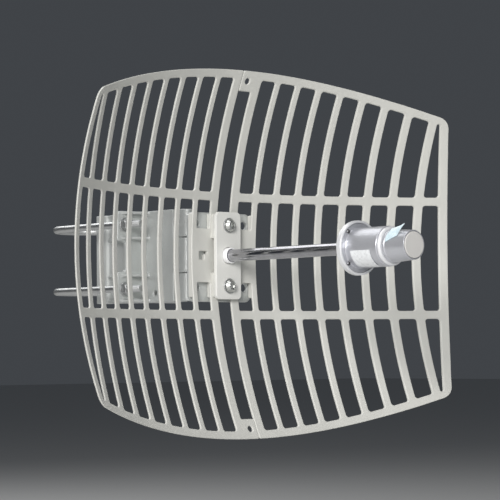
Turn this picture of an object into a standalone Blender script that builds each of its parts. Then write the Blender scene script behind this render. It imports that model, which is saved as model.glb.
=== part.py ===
"""Parabolic grid antenna on a swivelling mast bracket.

Metres. The origin is on the mast's axis, level with the boresight. The boresight points along -Y, +Z is up
and +X is to the right for somebody who looks into the dish. "Depth" below is the distance from the
reflector's vertex along the boresight, so the feed has positive depths and the bracket negative ones.
"""

import math

import bmesh
import bpy
from mathutils import Matrix, Vector

OBJECT_NAME = "parabolic_grid_antenna"
GAP = 0.0003  # between pieces that touch
WELD = 0.00001

# Reflector: a rectangular piece of a paraboloid with bowed edges
VERTEX_Y = -0.186
FOCAL_LENGTH = 0.1515
DISH_HALF_WIDTH = 0.200
DISH_HALF_HEIGHT = 0.150
TOP_EDGE_BOW = 0.91  # drop of the top edge, per metre squared of x
SIDE_EDGE_BOW = 0.87
DISH_CORNER_R = 0.013
GRID_THICKNESS = 0.0022
SIDE_BORDER = 0.0065
TOP_BORDER = 0.0062
INNER_RIB_X = (0.0069, 0.0150)  # the sides of the first, wider rib
FIRST_RIB_X = 0.0117
RIB_PITCH = 0.0206
RIB_COUNT = 9
RIB_WIDTH = 0.0051
RIB_GROWTH = 0.00015  # how much wider each rib is than the one inside it
CROSS_BAR_Z = 0.0488
CROSS_BAR_WIDTH = 0.0070
SLOT_CORNER_R = 0.0022
HUB_HALF_HEIGHT = 0.0222
BOSS_HALF_HEIGHT = 0.0345
BOSS_BACK = 0.0030  # the hub's flat back face is this far behind the vertex
BOSS_MARGIN = 0.0003
PAD_LOW_Z = 0.0140
PAD_HIGH_Z = 0.0342
PAD_ROOT_DEPTH = -0.0012  # the pads start inside the boss
PAD_FACE_DEPTH = 0.0040
PAD_CORNER_R = 0.0010
WINDOW_CORNER_R = 0.0012
KEY_HALF_HEIGHT = 0.0034
KEY_SLOT_X = (-0.0020, 0.0036)
KEY_ARM_X = -0.0052
KEY_ARM_TOP = -0.0010
TAB_HEIGHT = 0.0160
TAB_HOLE_R = 0.0025
TAB_CORNER_R = 0.0010
BEND_STEP = 0.018  # the longest straight piece of a bent edge

# Feed clamp and tube
CLAMP_WIDTH = 0.0270
CLAMP_HEIGHT = 0.0720
CLAMP_CORNER_R = 0.0040
CLAMP_DEPTH = PAD_FACE_DEPTH + GAP
CLAMP_THICKNESS = 0.0034
CLAMP_FACE = CLAMP_DEPTH + CLAMP_THICKNESS
CLAMP_SCREW_Z = 0.0250
CLAMP_BORE_R = 0.0068
CLAMP_WASHER_R = 0.0061
CLAMP_WASHER_THICKNESS = 0.0012
CLAMP_SCREW_REACH = 0.0135  # how far the screws run behind the hub's face
BUSH_FRONT = 0.0118
M6_R = 0.0030
M6_HOLE_R = 0.0034
TUBE_R = 0.0050
TUBE_BORE_R = 0.0036
TUBE_BACK = -0.0160
TUBE_FRONT = 0.1760

# Feed head
FLANGE_R = 0.02125
FLANGE_BACK = 0.1580
FLANGE_FLOOR = 0.1610
FLANGE_RIM_TOP = 0.1630
FLANGE_RIM_R = 0.0193
CAN_R = 0.0155
CAN_FRONT = 0.1960
CAN_WALL = 0.0016
FOOT_THICKNESS = 0.0012
FOOT_R = FLANGE_RIM_R - GAP
FEED_SCREW_R = 0.0011
FEED_SCREW_PCD_R = 0.0174
FEED_SCREW_END = 0.1596
FEED_SCREW_HEAD_R = 0.0016
FEED_SCREW_HEAD = 0.0009
STEP_FRONT = 0.1990
FRONT_CAN_R = 0.0130
FRONT_CAN_TIP_R = 0.0113
FRONT_CAN_WALL = 0.0009
FRONT_CAN_TIP = 0.2210
SUB_REFLECTOR_R = 0.0095
SUB_REFLECTOR_DEPTH = 0.2110
LINE_FRONT = 0.1820  # where the coaxial line ends and the dipole starts

# Hinge and mast bracket
BRACKET_RISE = 0.0025  # the bracket's middle sits this far above the boresight
HINGE_Y = VERTEX_Y + 0.045
KNUCKLE_R = 0.0080
KNUCKLE_SPLIT = 0.0150
KNUCKLE_END = 0.0387
BOLT_HEAD_RECESS = 0.0064
HINGE_NUT_RECESS = 0.0054
HINGE_NUT_LIFT = 0.0004  # of the nut and of the bolt's end above the knuckle's lower end
ARM_HALF_WIDTH = 0.0050
ARM_END = 0.0330  # the arms end before the knuckles do
BASE_FRONT_DEPTH = -(BOSS_BACK + GAP)
BASE_THICKNESS = 0.0034
BASE_HALF_WIDTH = 0.0335
BASE_Z = (-0.0380, 0.0358)
BASE_CORNER_R = 0.0060
SPARE_HOLE_XZ = 0.0260
SPINE_HALF_WIDTH = 0.0080
SPINE_WALL = 0.0030
BRACKET_FLANGE_Y = VERTEX_Y + 0.097
BRACKET_FLANGE_THICKNESS = 0.0040
BRACKET_HALF_WIDTH = 0.0345
BRACKET_HALF_HEIGHT = 0.0392
GUSSET_LEVELS = (-0.0375, -0.0160, 0.0160, 0.0375)
GUSSET_THICKNESS = 0.0025
SADDLE_HALF_WIDTH = 0.0065
MAST_R = 0.0225
U_BEND_R = 0.0270
U_BOLT_Z = 0.0275
U_LEG_END_Y = VERTEX_Y + 0.074
WASHER_THICKNESS = 0.0016
WASHER_R = 0.0060
NUT_HEIGHT = 0.0050
NUT_ACROSS_FLATS = 0.0100

MATERIALS = {
    "powder_coat": ((0.56, 0.56, 0.52), 0.45, 0.0),
    "cast_metal": ((0.50, 0.51, 0.50), 0.45, 0.6),
    "zinc": ((0.72, 0.73, 0.75), 0.30, 1.0),
    "chrome": ((0.85, 0.86, 0.88), 0.12, 1.0),
    "silver_paint": ((0.60, 0.61, 0.65), 0.35, 0.5),
    "pale_plastic": ((0.72, 0.71, 0.66), 0.50, 0.0),
    "white_plastic": ((0.85, 0.85, 0.84), 0.45, 0.0),
    "black_rubber": ((0.03, 0.03, 0.03), 0.80, 0.0),
    "brass": ((0.72, 0.55, 0.25), 0.30, 1.0),
    "dark_steel": ((0.12, 0.12, 0.13), 0.45, 1.0),
    "label_paper": ((0.88, 0.88, 0.90), 0.60, 0.0),
}


def clear_scene():
    for obj in list(bpy.data.objects):
        bpy.data.objects.remove(obj, do_unlink=True)


def make_collection(name):
    collection = bpy.data.collections.new(name)
    bpy.context.scene.collection.children.link(collection)
    return collection


def make_material(name):
    colour, roughness, metallic = MATERIALS[name]
    material = bpy.data.materials.new(name)
    material.use_nodes = True
    shader = material.node_tree.nodes["Principled BSDF"]
    shader.inputs["Base Color"].default_value = (*colour, 1.0)
    shader.inputs["Roughness"].default_value = roughness
    shader.inputs["Metallic"].default_value = metallic
    return material


class Workshop:
    """Holds the collections and materials, and turns shapes into finished, named parts."""

    def __init__(self):
        self.parts = make_collection(OBJECT_NAME)
        self.cutters = make_collection("cutters")
        self.materials = {name: make_material(name) for name in MATERIALS}

    def mesh_object(self, name, mesh, collection=None):
        obj = bpy.data.objects.new(name, mesh)
        (collection or self.cutters).objects.link(obj)
        return obj

    def evaluated_mesh(self, obj):
        depsgraph = bpy.context.evaluated_depsgraph_get()
        return bpy.data.meshes.new_from_object(obj.evaluated_get(depsgraph))

    def finish(self, obj, name, material):
        """Applies an object's modifiers and keeps it as the part called name."""
        mesh = self.evaluated_mesh(obj)
        mesh.materials.clear()
        mesh.materials.append(self.materials[material])
        mesh.shade_smooth()
        mesh.set_sharp_from_angle(angle=math.radians(35))
        part = self.mesh_object(name, mesh, self.parts)
        part.matrix_world = obj.matrix_world.copy()
        bpy.data.objects.remove(obj, do_unlink=True)
        return part

    def bake(self, obj):
        """Applies an object's modifiers, so that it can be moved away from what cuts it."""
        baked = self.mesh_object(obj.name + "_baked", self.evaluated_mesh(obj))
        baked.matrix_world = obj.matrix_world.copy()
        bpy.data.objects.remove(obj, do_unlink=True)
        return baked

    def combine(self, obj, others, operation):
        for other in others:
            other.hide_render = True
            other.display_type = "WIRE"
            boolean = obj.modifiers.new(operation.lower(), "BOOLEAN")
            boolean.operation = operation
            boolean.solver = "EXACT"
            boolean.object = other
        return obj

    def join(self, obj, others):
        return self.combine(obj, others, "UNION")

    def cut(self, obj, others):
        return self.combine(obj, others, "DIFFERENCE")


def place(obj, location=(0, 0, 0), rotation=(0, 0, 0)):
    obj.location = location
    obj.rotation_euler = rotation
    bpy.context.view_layer.update()
    return obj


def on_boresight(obj):
    """Turns an object's own +Z into depth along the boresight, from the vertex."""
    return place(obj, (0, VERTEX_Y, 0), (math.radians(90), 0, 0))


# --- outlines -----------------------------------------------------------------------------------------------


def arc(centre, radius, start_deg, end_deg, steps):
    angles = [math.radians(start_deg + (end_deg - start_deg) * i / steps) for i in range(steps + 1)]
    return [(centre[0] + radius * math.cos(a), centre[1] + radius * math.sin(a)) for a in angles]


def circle(centre, radius, sides=20):
    return arc(centre, radius, 0, 360, sides)[:-1]


def rounded(corners, steps=3):
    """Rounds a closed outline of (x, y, radius) corners. A radius that doesn't fit is made smaller."""
    points = []
    for i, (x, y, radius) in enumerate(corners):
        here = Vector((x, y))
        before = Vector(corners[i - 1][:2]) - here
        after = Vector(corners[(i + 1) % len(corners)][:2]) - here
        if radius == 0:
            points.append((x, y))
            continue
        half_angle = before.angle(after) / 2
        reach = min(radius / math.tan(half_angle), 0.45 * before.length, 0.45 * after.length)
        radius = reach * math.tan(half_angle)
        inwards = (before.normalized() + after.normalized()).normalized()
        centre = here + inwards * radius / math.sin(half_angle)
        start = here + before.normalized() * reach - centre
        end = here + after.normalized() * reach - centre
        turn = start.angle_signed(end)
        for step in range(steps + 1):
            points.append(tuple(centre + Matrix.Rotation(-turn * step / steps, 2) @ start))
    return points


def rectangle(x0, z0, x1, z1, radius=0.0, steps=3):
    return rounded([(x0, z0, radius), (x1, z0, radius), (x1, z1, radius), (x0, z1, radius)], steps)


def subdivided(loop, longest):
    """The same closed outline with points added, so that no edge is longer than longest."""
    points = []
    for start, end in zip(loop, loop[1:] + loop[:1]):
        count = max(1, math.ceil(math.dist(start, end) / longest))
        points += [tuple(a + (b - a) * i / count for a, b in zip(start, end)) for i in range(count)]
    return points


def turned_half(loop):
    """The same outline after half a turn about the boresight."""
    return [(-x, -z) for x, z in loop]


# --- solids -------------------------------------------------------------------------------------------------


def slab(shop, name, loops, thickness, bend_lines=()):
    """A flat plate in its own XY plane, thickness from z = 0 up, from one outline and the holes inside it.

    bend_lines are the x values at which it gets a row of edges, so that it can be bent smoothly afterwards.
    """
    curve = bpy.data.curves.new(name, "CURVE")
    curve.dimensions = "2D"
    curve.fill_mode = "BOTH"
    curve.extrude = thickness / 2
    for loop in loops:
        spline = curve.splines.new("POLY")
        spline.points.add(len(loop) - 1)
        for point, (x, y) in zip(spline.points, loop):
            point.co = (x, y, 0, 1)
        spline.use_cyclic_u = True
    outline = shop.mesh_object(name + "_outline", curve)
    bpy.context.view_layer.update()
    mesh = shop.evaluated_mesh(outline)
    bpy.data.objects.remove(outline, do_unlink=True)
    bm = bmesh.new()
    bm.from_mesh(mesh)
    bmesh.ops.remove_doubles(bm, verts=bm.verts, dist=WELD)
    bmesh.ops.translate(bm, verts=bm.verts, vec=(0, 0, thickness / 2))
    bmesh.ops.recalc_face_normals(bm, faces=bm.faces)
    for x in bend_lines:
        everything = bm.verts[:] + bm.edges[:] + bm.faces[:]
        bmesh.ops.bisect_plane(bm, geom=everything, dist=WELD, plane_co=(x, 0, 0), plane_no=(1, 0, 0))
    caps = [face for face in bm.faces if abs(face.normal.z) > 0.5]
    if bend_lines:
        caps = bmesh.ops.triangulate(bm, faces=caps)["faces"]
    bmesh.ops.beautify_fill(bm, faces=caps, edges=list({edge for face in caps for edge in face.edges}))
    bm.to_mesh(mesh)
    bm.free()
    return shop.mesh_object(name, mesh)


def facing_plate(shop, name, loops, depth, thickness):
    """A plate across the boresight, its outline in (x, z), from depth forwards."""
    plate = slab(shop, name, loops, thickness)
    return place(plate, (0, VERTEX_Y - depth, 0), (math.radians(90), 0, 0))


def level_plate(shop, name, loops, z, thickness):
    """A horizontal plate with its outline in (x, y), from z upwards."""
    return place(slab(shop, name, loops, thickness), (0, 0, z))


def turned(shop, name, profile, closed=False, steps=32):
    """A shape turned about its own Z axis. The (radius, z) profile runs down its outer side."""
    mesh = bpy.data.meshes.new(name)
    edges = [(i, i + 1) for i in range(len(profile) - 1)]
    if closed:
        edges.append((len(profile) - 1, 0))
    mesh.from_pydata([(r, 0, z) for r, z in profile], edges, [])
    obj = shop.mesh_object(name, mesh)
    screw = obj.modifiers.new("turn", "SCREW")
    screw.axis = "Z"
    screw.steps = steps
    screw.render_steps = steps
    screw.use_merge_vertices = True
    screw.merge_threshold = WELD
    return obj


def ring(shop, name, inner, outer, low, high, steps=32):
    return turned(shop, name, [(inner, high), (outer, high), (outer, low), (inner, low)], True, steps)


def rod(shop, name, radius, low, high, steps=24):
    return turned(shop, name, [(0, high), (radius, high), (radius, low), (0, low)], False, steps)


def box(shop, name, low, high):
    bm = bmesh.new()
    bmesh.ops.create_cube(bm, size=1.0)
    size = [b - a for a, b in zip(low, high)]
    middle = [(a + b) / 2 for a, b in zip(low, high)]
    bmesh.ops.scale(bm, verts=bm.verts, vec=size)
    bmesh.ops.translate(bm, verts=bm.verts, vec=middle)
    mesh = bpy.data.meshes.new(name)
    bm.to_mesh(mesh)
    bm.free()
    return shop.mesh_object(name, mesh)


def hexagon(across_flats):
    return arc((0, 0), across_flats / math.sqrt(3), 30, 330, 5)


# --- reflector ----------------------------------------------------------------------------------------------


def dish_sag(x, z):
    return (x * x + z * z) / (4 * FOCAL_LENGTH)


def top_edge(x, inset=0.0):
    return DISH_HALF_HEIGHT - inset - TOP_EDGE_BOW * x * x


def side_edge(z, inset=0.0):
    return DISH_HALF_WIDTH - inset - SIDE_EDGE_BOW * z * z


def edge_meeting(top_inset, side_inset):
    """The corner where the bowed top and side edges meet."""
    z = DISH_HALF_HEIGHT
    for _ in range(40):
        z = top_edge(side_edge(z, side_inset), top_inset)
    return side_edge(z, side_inset), z


def rib_sides(index):
    if index == 0:
        return INNER_RIB_X
    middle = FIRST_RIB_X + RIB_PITCH * index
    half = (RIB_WIDTH + RIB_GROWTH * index) / 2
    return middle - half, middle + half


def half_outline():
    """The right half's outer edge, with the tab that closes the gap at the top."""
    inner = rib_sides(0)[0]
    far_x, far_z = edge_meeting(0, 0)
    spans = 8
    tops = [inner + (far_x - inner) * i / spans for i in range(spans)]
    sides = [far_z * (1 - 2 * i / spans) for i in range(1, spans)]
    loop = [(x, -top_edge(x), 0) for x in tops]
    loop.append((far_x, -far_z, DISH_CORNER_R))
    loop += [(side_edge(z), z, 0) for z in reversed(sides)]
    loop.append((far_x, far_z, DISH_CORNER_R))
    loop += [(x, top_edge(x), 0) for x in reversed(tops)]
    tab_x = -inner + GAP
    low = DISH_HALF_HEIGHT - TAB_HEIGHT
    loop += [(tab_x, top_edge(tab_x), 0), (tab_x, low, TAB_CORNER_R), (inner, low, TAB_CORNER_R)]
    return rounded(loop, 5)


def slot(column, row):
    """One opening of the grid. Row 0 is the middle row, 1 the top row and -1 the bottom row."""
    left = rib_sides(column)[1]
    bar = CROSS_BAR_WIDTH / 2
    r = SLOT_CORNER_R
    if column < RIB_COUNT - 1:
        right = rib_sides(column + 1)[0]
        if row == 0:
            high = CROSS_BAR_Z - bar
            return rectangle(left, -high, right, high, r, 2)
        low = CROSS_BAR_Z + bar
        tops = [(x, top_edge(x, TOP_BORDER)) for x in (right, left)]
        corners = [(left, low), (right, low)] + tops
    elif row == 0:
        high = CROSS_BAR_Z - bar
        levels = [-high, 0, high]
        corners = [(left, -high)] + [(side_edge(z, SIDE_BORDER), z) for z in levels] + [(left, high)]
    else:
        low = CROSS_BAR_Z + bar
        high = top_edge(left, TOP_BORDER)
        levels = [low + (high - low) * i / 3 for i in range(4)]
        corners = [(left, low)] + [(side_edge(z, SIDE_BORDER), z) for z in levels] + [(left, high)]
    if row == -1:
        corners = [(x, -z) for x, z in reversed(corners)]
    return rounded([(x, z, r) for x, z in corners], 2)


def hub_openings():
    """Two windows beside the solid middle of the hub, and an L-shaped keyhole in it."""
    left = rib_sides(0)[1]
    right = rib_sides(1)[0]
    high = CROSS_BAR_Z - CROSS_BAR_WIDTH / 2
    upper = rectangle(left, HUB_HALF_HEIGHT, right, high, WINDOW_CORNER_R)
    lower = rectangle(left, -high, right, -HUB_HALF_HEIGHT, WINDOW_CORNER_R)
    return [upper, lower, keyhole(0)]


def keyhole(margin):
    """The keyhole's outline, made larger all round by margin."""
    x = (rib_sides(0)[1] + rib_sides(1)[0]) / 2
    near, far = KEY_SLOT_X[0] - margin, KEY_SLOT_X[1] + margin
    arm_x = KEY_ARM_X - margin
    arm_top = KEY_ARM_TOP + margin
    end = KEY_HALF_HEIGHT + margin
    corners = [(arm_x, -end), (far, -end), (far, end), (near, end), (near, arm_top), (arm_x, arm_top)]
    return [(x + dx, z) for dx, z in corners]


def boss_outlines():
    """The hub's flat-backed boss: an H of the two inner ribs and the middle between them, and its keyhole."""
    inner, notch_in = rib_sides(0)[0] + BOSS_MARGIN, rib_sides(0)[1] - BOSS_MARGIN
    notch_out, outer = rib_sides(1)[0] + BOSS_MARGIN, rib_sides(1)[1] - BOSS_MARGIN
    step, end = HUB_HALF_HEIGHT - BOSS_MARGIN, BOSS_HALF_HEIGHT
    upper = [(outer, end), (notch_out, end), (notch_out, step)]
    upper += [(notch_in, step), (notch_in, end), (inner, end)]
    lower = [(x, -z) for x, z in reversed(upper)]
    return [lower + upper, keyhole(BOSS_MARGIN)]


def reflector_half(shop, name, half_turn):
    loops = [half_outline(), circle((0, DISH_HALF_HEIGHT - TAB_HEIGHT / 2), TAB_HOLE_R, 12)]
    for column in range(RIB_COUNT):
        for row in (-1, 0, 1):
            if (column, row) != (0, 0):
                loops.append(slot(column, row))
    loops += hub_openings()
    boss_loops = boss_outlines()
    if half_turn:
        loops = [turned_half(loop) for loop in loops]
        boss_loops = [turned_half(loop) for loop in boss_loops]
    sign = -1 if half_turn else 1
    bends = [sign * (rib_sides(i)[1] + rib_sides(i + 1)[0]) / 2 for i in range(RIB_COUNT - 1)]
    bends.append(sign * (rib_sides(RIB_COUNT - 1)[1] + DISH_HALF_WIDTH - SIDE_BORDER) / 2)
    grid = slab(shop, name + "_grid", [subdivided(loop, BEND_STEP) for loop in loops], GRID_THICKNESS, bends)
    for vert in grid.data.vertices:
        vert.co.z += dish_sag(vert.co.x, vert.co.y) - GRID_THICKNESS
    boss = slab(shop, name + "_boss", [subdivided(loop, BEND_STEP) for loop in boss_loops], BOSS_BACK)
    for vert in boss.data.vertices:
        inside_grid = dish_sag(vert.co.x, vert.co.y) - GRID_THICKNESS / 2
        vert.co.z = inside_grid if vert.co.z > BOSS_BACK / 2 else -BOSS_BACK
    pads = []
    for side in (-1, 1):
        pad_in, pad_out = INNER_RIB_X[0] + BOSS_MARGIN, CLAMP_WIDTH / 2
        outline = rectangle(pad_in, PAD_LOW_Z, pad_out, PAD_HIGH_Z, PAD_CORNER_R)
        if half_turn:
            outline = [(-x, z) for x, z in outline]
        outline = [(x, side * z) for x, z in outline]
        height = PAD_FACE_DEPTH - PAD_ROOT_DEPTH
        pads.append(facing_plate(shop, f"{name}_pad_{side + 1}", [outline], PAD_ROOT_DEPTH, height))
    on_boresight(grid)
    on_boresight(boss)
    return shop.finish(shop.join(grid, [boss] + pads), name, "powder_coat")


# --- feed clamp and feed ------------------------------------------------------------------------------------


def hex_nut(shop, name, across_flats, height, hole_r):
    """A nut with its axis on its own Z, from z = 0 up, and chamfered corners."""
    nut = slab(shop, name, [hexagon(across_flats), circle((0, 0), hole_r, 12)], height)
    corner_r = across_flats / math.sqrt(3)
    chamfer = 0.0006
    near, far = corner_r - 2 * chamfer, corner_r + chamfer
    envelope = [
        (0, height + chamfer), (near, height + chamfer), (far, height - chamfer / 2),
        (far, chamfer / 2), (near, -chamfer), (0, -chamfer),
    ]
    return shop.bake(shop.combine(nut, [turned(shop, name + "_chamfer", envelope, steps=18)], "INTERSECT"))


def button_screw(shop, name, shank_end):
    """An M6 button-head socket screw. Its own z = 0 is under the head, and the shank ends at shank_end."""
    head_r = 0.00525
    head = 0.0033
    dome = [(0, head), (0.0034, head), (0.0045, 0.0026), (0.0051, 0.0012), (head_r, 0)]
    shank = [(M6_R, 0), (M6_R, shank_end), (0, shank_end)]
    screw = turned(shop, name, dome + shank, steps=18)
    socket_width, socket_floor = 0.0040, 0.0015
    socket = place(slab(shop, name + "_socket", [hexagon(socket_width)], head), (0, 0, socket_floor))
    return shop.bake(shop.cut(screw, [socket]))


def feed_clamp(shop):
    """The plate across both halves' pads, its screws, the bush in its bore, and the tube's locknut."""
    half_w, half_h = CLAMP_WIDTH / 2, CLAMP_HEIGHT / 2
    loops = [rectangle(-half_w, -half_h, half_w, half_h, CLAMP_CORNER_R, 4)]
    loops += [circle((0, side * CLAMP_SCREW_Z), M6_HOLE_R) for side in (-1, 1)]
    loops.append(circle((0, 0), CLAMP_BORE_R, 24))
    plate = facing_plate(shop, "clamp_plate_blank", loops, CLAMP_DEPTH, CLAMP_THICKNESS)
    shop.finish(plate, "clamp_plate", "powder_coat")

    washer_t = CLAMP_WASHER_THICKNESS
    head_depth = CLAMP_FACE + washer_t + 2 * GAP
    for name, side in (("upper", 1), ("lower", -1)):
        washer = ring(shop, "washer", M6_HOLE_R, CLAMP_WASHER_R, 0, washer_t, 18)
        place(washer, (0, VERTEX_Y - CLAMP_FACE - GAP, side * CLAMP_SCREW_Z), (math.radians(90), 0, 0))
        shop.finish(washer, f"clamp_washer_{name}", "zinc")
        screw = button_screw(shop, "screw", -(head_depth + CLAMP_SCREW_REACH))
        place(screw, (0, VERTEX_Y - head_depth, side * CLAMP_SCREW_Z), (math.radians(90), 0, 0))
        shop.finish(screw, f"clamp_screw_{name}", "zinc")

    bore, sleeve_r, collar_r = TUBE_R + GAP, 0.0065, 0.0071
    collar_back, collar_front = 0.0022, CLAMP_DEPTH - 2 * GAP
    chamfer = 0.0005
    bush = [
        (bore, BUSH_FRONT), (sleeve_r - chamfer, BUSH_FRONT), (sleeve_r, BUSH_FRONT - chamfer),
        (sleeve_r, collar_front), (collar_r, collar_front), (collar_r, collar_back), (bore, collar_back),
    ]
    shop.finish(on_boresight(turned(shop, "bush", bush, True)), "tube_bush", "white_plastic")

    nut_height, nut_width = 0.0040, 0.0150
    nut = hex_nut(shop, "locknut", nut_width, nut_height, TUBE_R + GAP)
    nut_y = VERTEX_Y - BASE_FRONT_DEPTH + BASE_THICKNESS + GAP
    place(nut, (0, nut_y + nut_height, 0), (math.radians(90), 0, 0))
    shop.finish(nut, "tube_locknut", "zinc")


def feed_line(shop):
    tube = on_boresight(ring(shop, "tube", TUBE_BORE_R, TUBE_R, TUBE_BACK, TUBE_FRONT, 24))
    shop.finish(tube, "feed_tube", "chrome")
    core_r, sleeve_r = 0.0007, TUBE_BORE_R - GAP
    sleeve = on_boresight(ring(shop, "sleeve", core_r + GAP, sleeve_r, TUBE_BACK, LINE_FRONT, 12))
    shop.finish(sleeve, "coax_dielectric", "white_plastic")
    core = on_boresight(rod(shop, "core", core_r, TUBE_BACK, LINE_FRONT, 8))
    shop.finish(core, "coax_inner", "brass")

    top = TUBE_BACK - GAP
    neck_top, neck_end = top - 0.0030, top - 0.0065
    neck_r, body_r, hole_r = 0.0050, 0.0064, 0.0032
    body = [
        (hole_r, top), (body_r, top), (body_r, neck_top),
        (neck_r, neck_top), (neck_r, neck_end), (hole_r, neck_end),
    ]
    shop.finish(on_boresight(turned(shop, "gland", body, True, 24)), "gland_body", "brass")
    nut_top, nut_end, nut_r = neck_top - GAP, top - 0.0105, 0.0068
    step, bore, cable_r = neck_end - GAP, neck_r + GAP, 0.0026
    outside = [(bore, nut_top), (nut_r, nut_top), (nut_r, nut_end + 0.0015), (0.0054, nut_end)]
    inside = [(cable_r, nut_end), (cable_r, nut_end + 0.0015), (bore, step - 0.0010)]
    shop.finish(on_boresight(turned(shop, "nut", outside + inside, True, 24)), "gland_nut", "black_rubber")
    seal_top, seal_end, seal_r, seal_bore = top - 0.0005, step - 0.0012, 0.0029, 0.0016
    seal = [
        (seal_bore, seal_top), (seal_r, seal_top), (seal_r, step),
        (seal_r - 0.0005, seal_end), (seal_bore, seal_end),
    ]
    shop.finish(on_boresight(turned(shop, "seal", seal, True, 16)), "gland_seal", "black_rubber")


def feed_screw_places():
    angles = [math.radians(45 + 90 * i) for i in range(4)]
    return [(FEED_SCREW_PCD_R * math.cos(a), FEED_SCREW_PCD_R * math.sin(a)) for a in angles]


def feed_screw_holes(shop, name):
    """Four cutters for the feed's small screws."""
    holes = []
    back, front = FEED_SCREW_END - 0.0004, FEED_SCREW_END + 0.0064
    for i, (x, z) in enumerate(feed_screw_places()):
        hole = rod(shop, f"{name}_{i}", FEED_SCREW_R + GAP, back, front, 12)
        holes.append(place(hole, (x, VERTEX_Y, z), (math.radians(90), 0, 0)))
    return holes


def feed_head(shop):
    bore = TUBE_R + GAP
    r, rim_r = FLANGE_R, FLANGE_RIM_R
    flange = [
        (bore, FLANGE_FLOOR), (rim_r, FLANGE_FLOOR), (rim_r, FLANGE_RIM_TOP),
        (r - 0.0005, FLANGE_RIM_TOP), (r, FLANGE_RIM_TOP - 0.0005),
        (r, FLANGE_BACK + 0.0008), (r - 0.0008, FLANGE_BACK), (bore, FLANGE_BACK),
    ]
    flange = on_boresight(turned(shop, "flange", flange, True, 32))
    shop.finish(shop.cut(flange, feed_screw_holes(shop, "flange_hole")), "feed_flange", "silver_paint")

    foot = FLANGE_FLOOR + GAP
    inner = CAN_R - CAN_WALL
    roof = CAN_FRONT - CAN_WALL
    neck = 0.0100
    foot_top = foot + FOOT_THICKNESS
    can = [
        (neck, CAN_FRONT), (CAN_R - 0.0005, CAN_FRONT), (CAN_R, CAN_FRONT - 0.0005), (CAN_R, foot_top),
        (FOOT_R, foot_top), (FOOT_R, foot), (inner, foot), (inner, roof), (neck, roof),
    ]
    can = on_boresight(turned(shop, "can", can, True, 32))
    shop.finish(shop.cut(can, feed_screw_holes(shop, "can_hole")), "feed_housing", "silver_paint")

    head_low = foot_top + GAP
    head_top = head_low + FEED_SCREW_HEAD
    edge = FEED_SCREW_HEAD_R
    head = [(0, head_top), (edge - 0.0005, head_top), (edge, head_top - 0.0005), (edge, head_low)]
    shank = [(FEED_SCREW_R, head_low), (FEED_SCREW_R, FEED_SCREW_END), (0, FEED_SCREW_END)]
    for i, (x, z) in enumerate(feed_screw_places()):
        screw = turned(shop, "screw", head + shank, steps=12)
        place(screw, (x, VERTEX_Y, z), (math.radians(90), 0, 0))
        shop.finish(screw, f"flange_screw_{i + 1}", "dark_steel")

    low = CAN_FRONT + GAP
    step_r, chamfer = 0.0150, 0.0010
    step = [
        (neck, STEP_FRONT), (step_r - chamfer, STEP_FRONT), (step_r, STEP_FRONT - chamfer),
        (step_r, low), (neck, low),
    ]
    shop.finish(on_boresight(turned(shop, "step", step, True, 32)), "step_ring", "silver_paint")

    low = STEP_FRONT + GAP
    collar = low + 0.0022
    tip, tip_r, wall = FRONT_CAN_TIP, FRONT_CAN_TIP_R, FRONT_CAN_WALL
    front = [
        (tip_r - wall, tip), (tip_r - 0.0003, tip), (tip_r, tip - 0.0003),
        (FRONT_CAN_R - 0.0004, collar + 0.0004), (FRONT_CAN_R, collar), (FRONT_CAN_R, low),
        (neck, low), (neck, low + wall), (tip_r - wall, low + wall),
    ]
    shop.finish(on_boresight(turned(shop, "front", front, True, 32)), "front_housing", "silver_paint")
    disc_r, disc_face, disc_back = tip_r - wall - GAP, tip + 0.0006, tip - 0.0014
    disc = [
        (0, disc_face), (disc_r - 0.0004, disc_face), (disc_r, disc_face - 0.0004),
        (disc_r, disc_back), (0, disc_back),
    ]
    shop.finish(on_boresight(turned(shop, "disc", disc, steps=32)), "end_disc", "pale_plastic")
    plate = rod(shop, "plate", SUB_REFLECTOR_R, SUB_REFLECTOR_DEPTH, SUB_REFLECTOR_DEPTH + 0.0010, 24)
    shop.finish(on_boresight(plate), "sub_reflector", "zinc")
    dipole_back = LINE_FRONT + GAP
    low, high = (-0.0015, -0.0120, dipole_back), (0.0015, 0.0120, dipole_back + 0.0012)
    shop.finish(on_boresight(box(shop, "dipole", low, high)), "dipole_element", "brass")


def sticker(shop, name, radius, angles_deg, depths, lift=0.0):
    """A thin sticker around a can. lift raises its last edge off the can, as when it peels."""
    steps = 10
    thickness = 0.00025
    path = []
    for i in range(steps + 1):
        t = i / steps
        angle = math.radians(angles_deg[0] + (angles_deg[1] - angles_deg[0]) * t)
        r = radius + GAP + lift * max(0.0, (t - 0.45) / 0.55) ** 2
        path.append((r, angle))
    outer = [((r + thickness) * math.cos(a), (r + thickness) * math.sin(a)) for r, a in path]
    inner = [(r * math.cos(a), r * math.sin(a)) for r, a in reversed(path)]
    sheet = slab(shop, name + "_sheet", [outer + inner], depths[1] - depths[0])
    place(sheet, (0, VERTEX_Y - depths[0], 0), (math.radians(90), 0, 0))
    return shop.finish(sheet, name, "label_paper")


# --- bracket ------------------------------------------------------------------------------------------------


def knuckle(shop, name, low, high):
    return place(rod(shop, name, KNUCKLE_R, low, high, 24), (0, HINGE_Y, BRACKET_RISE))


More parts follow.
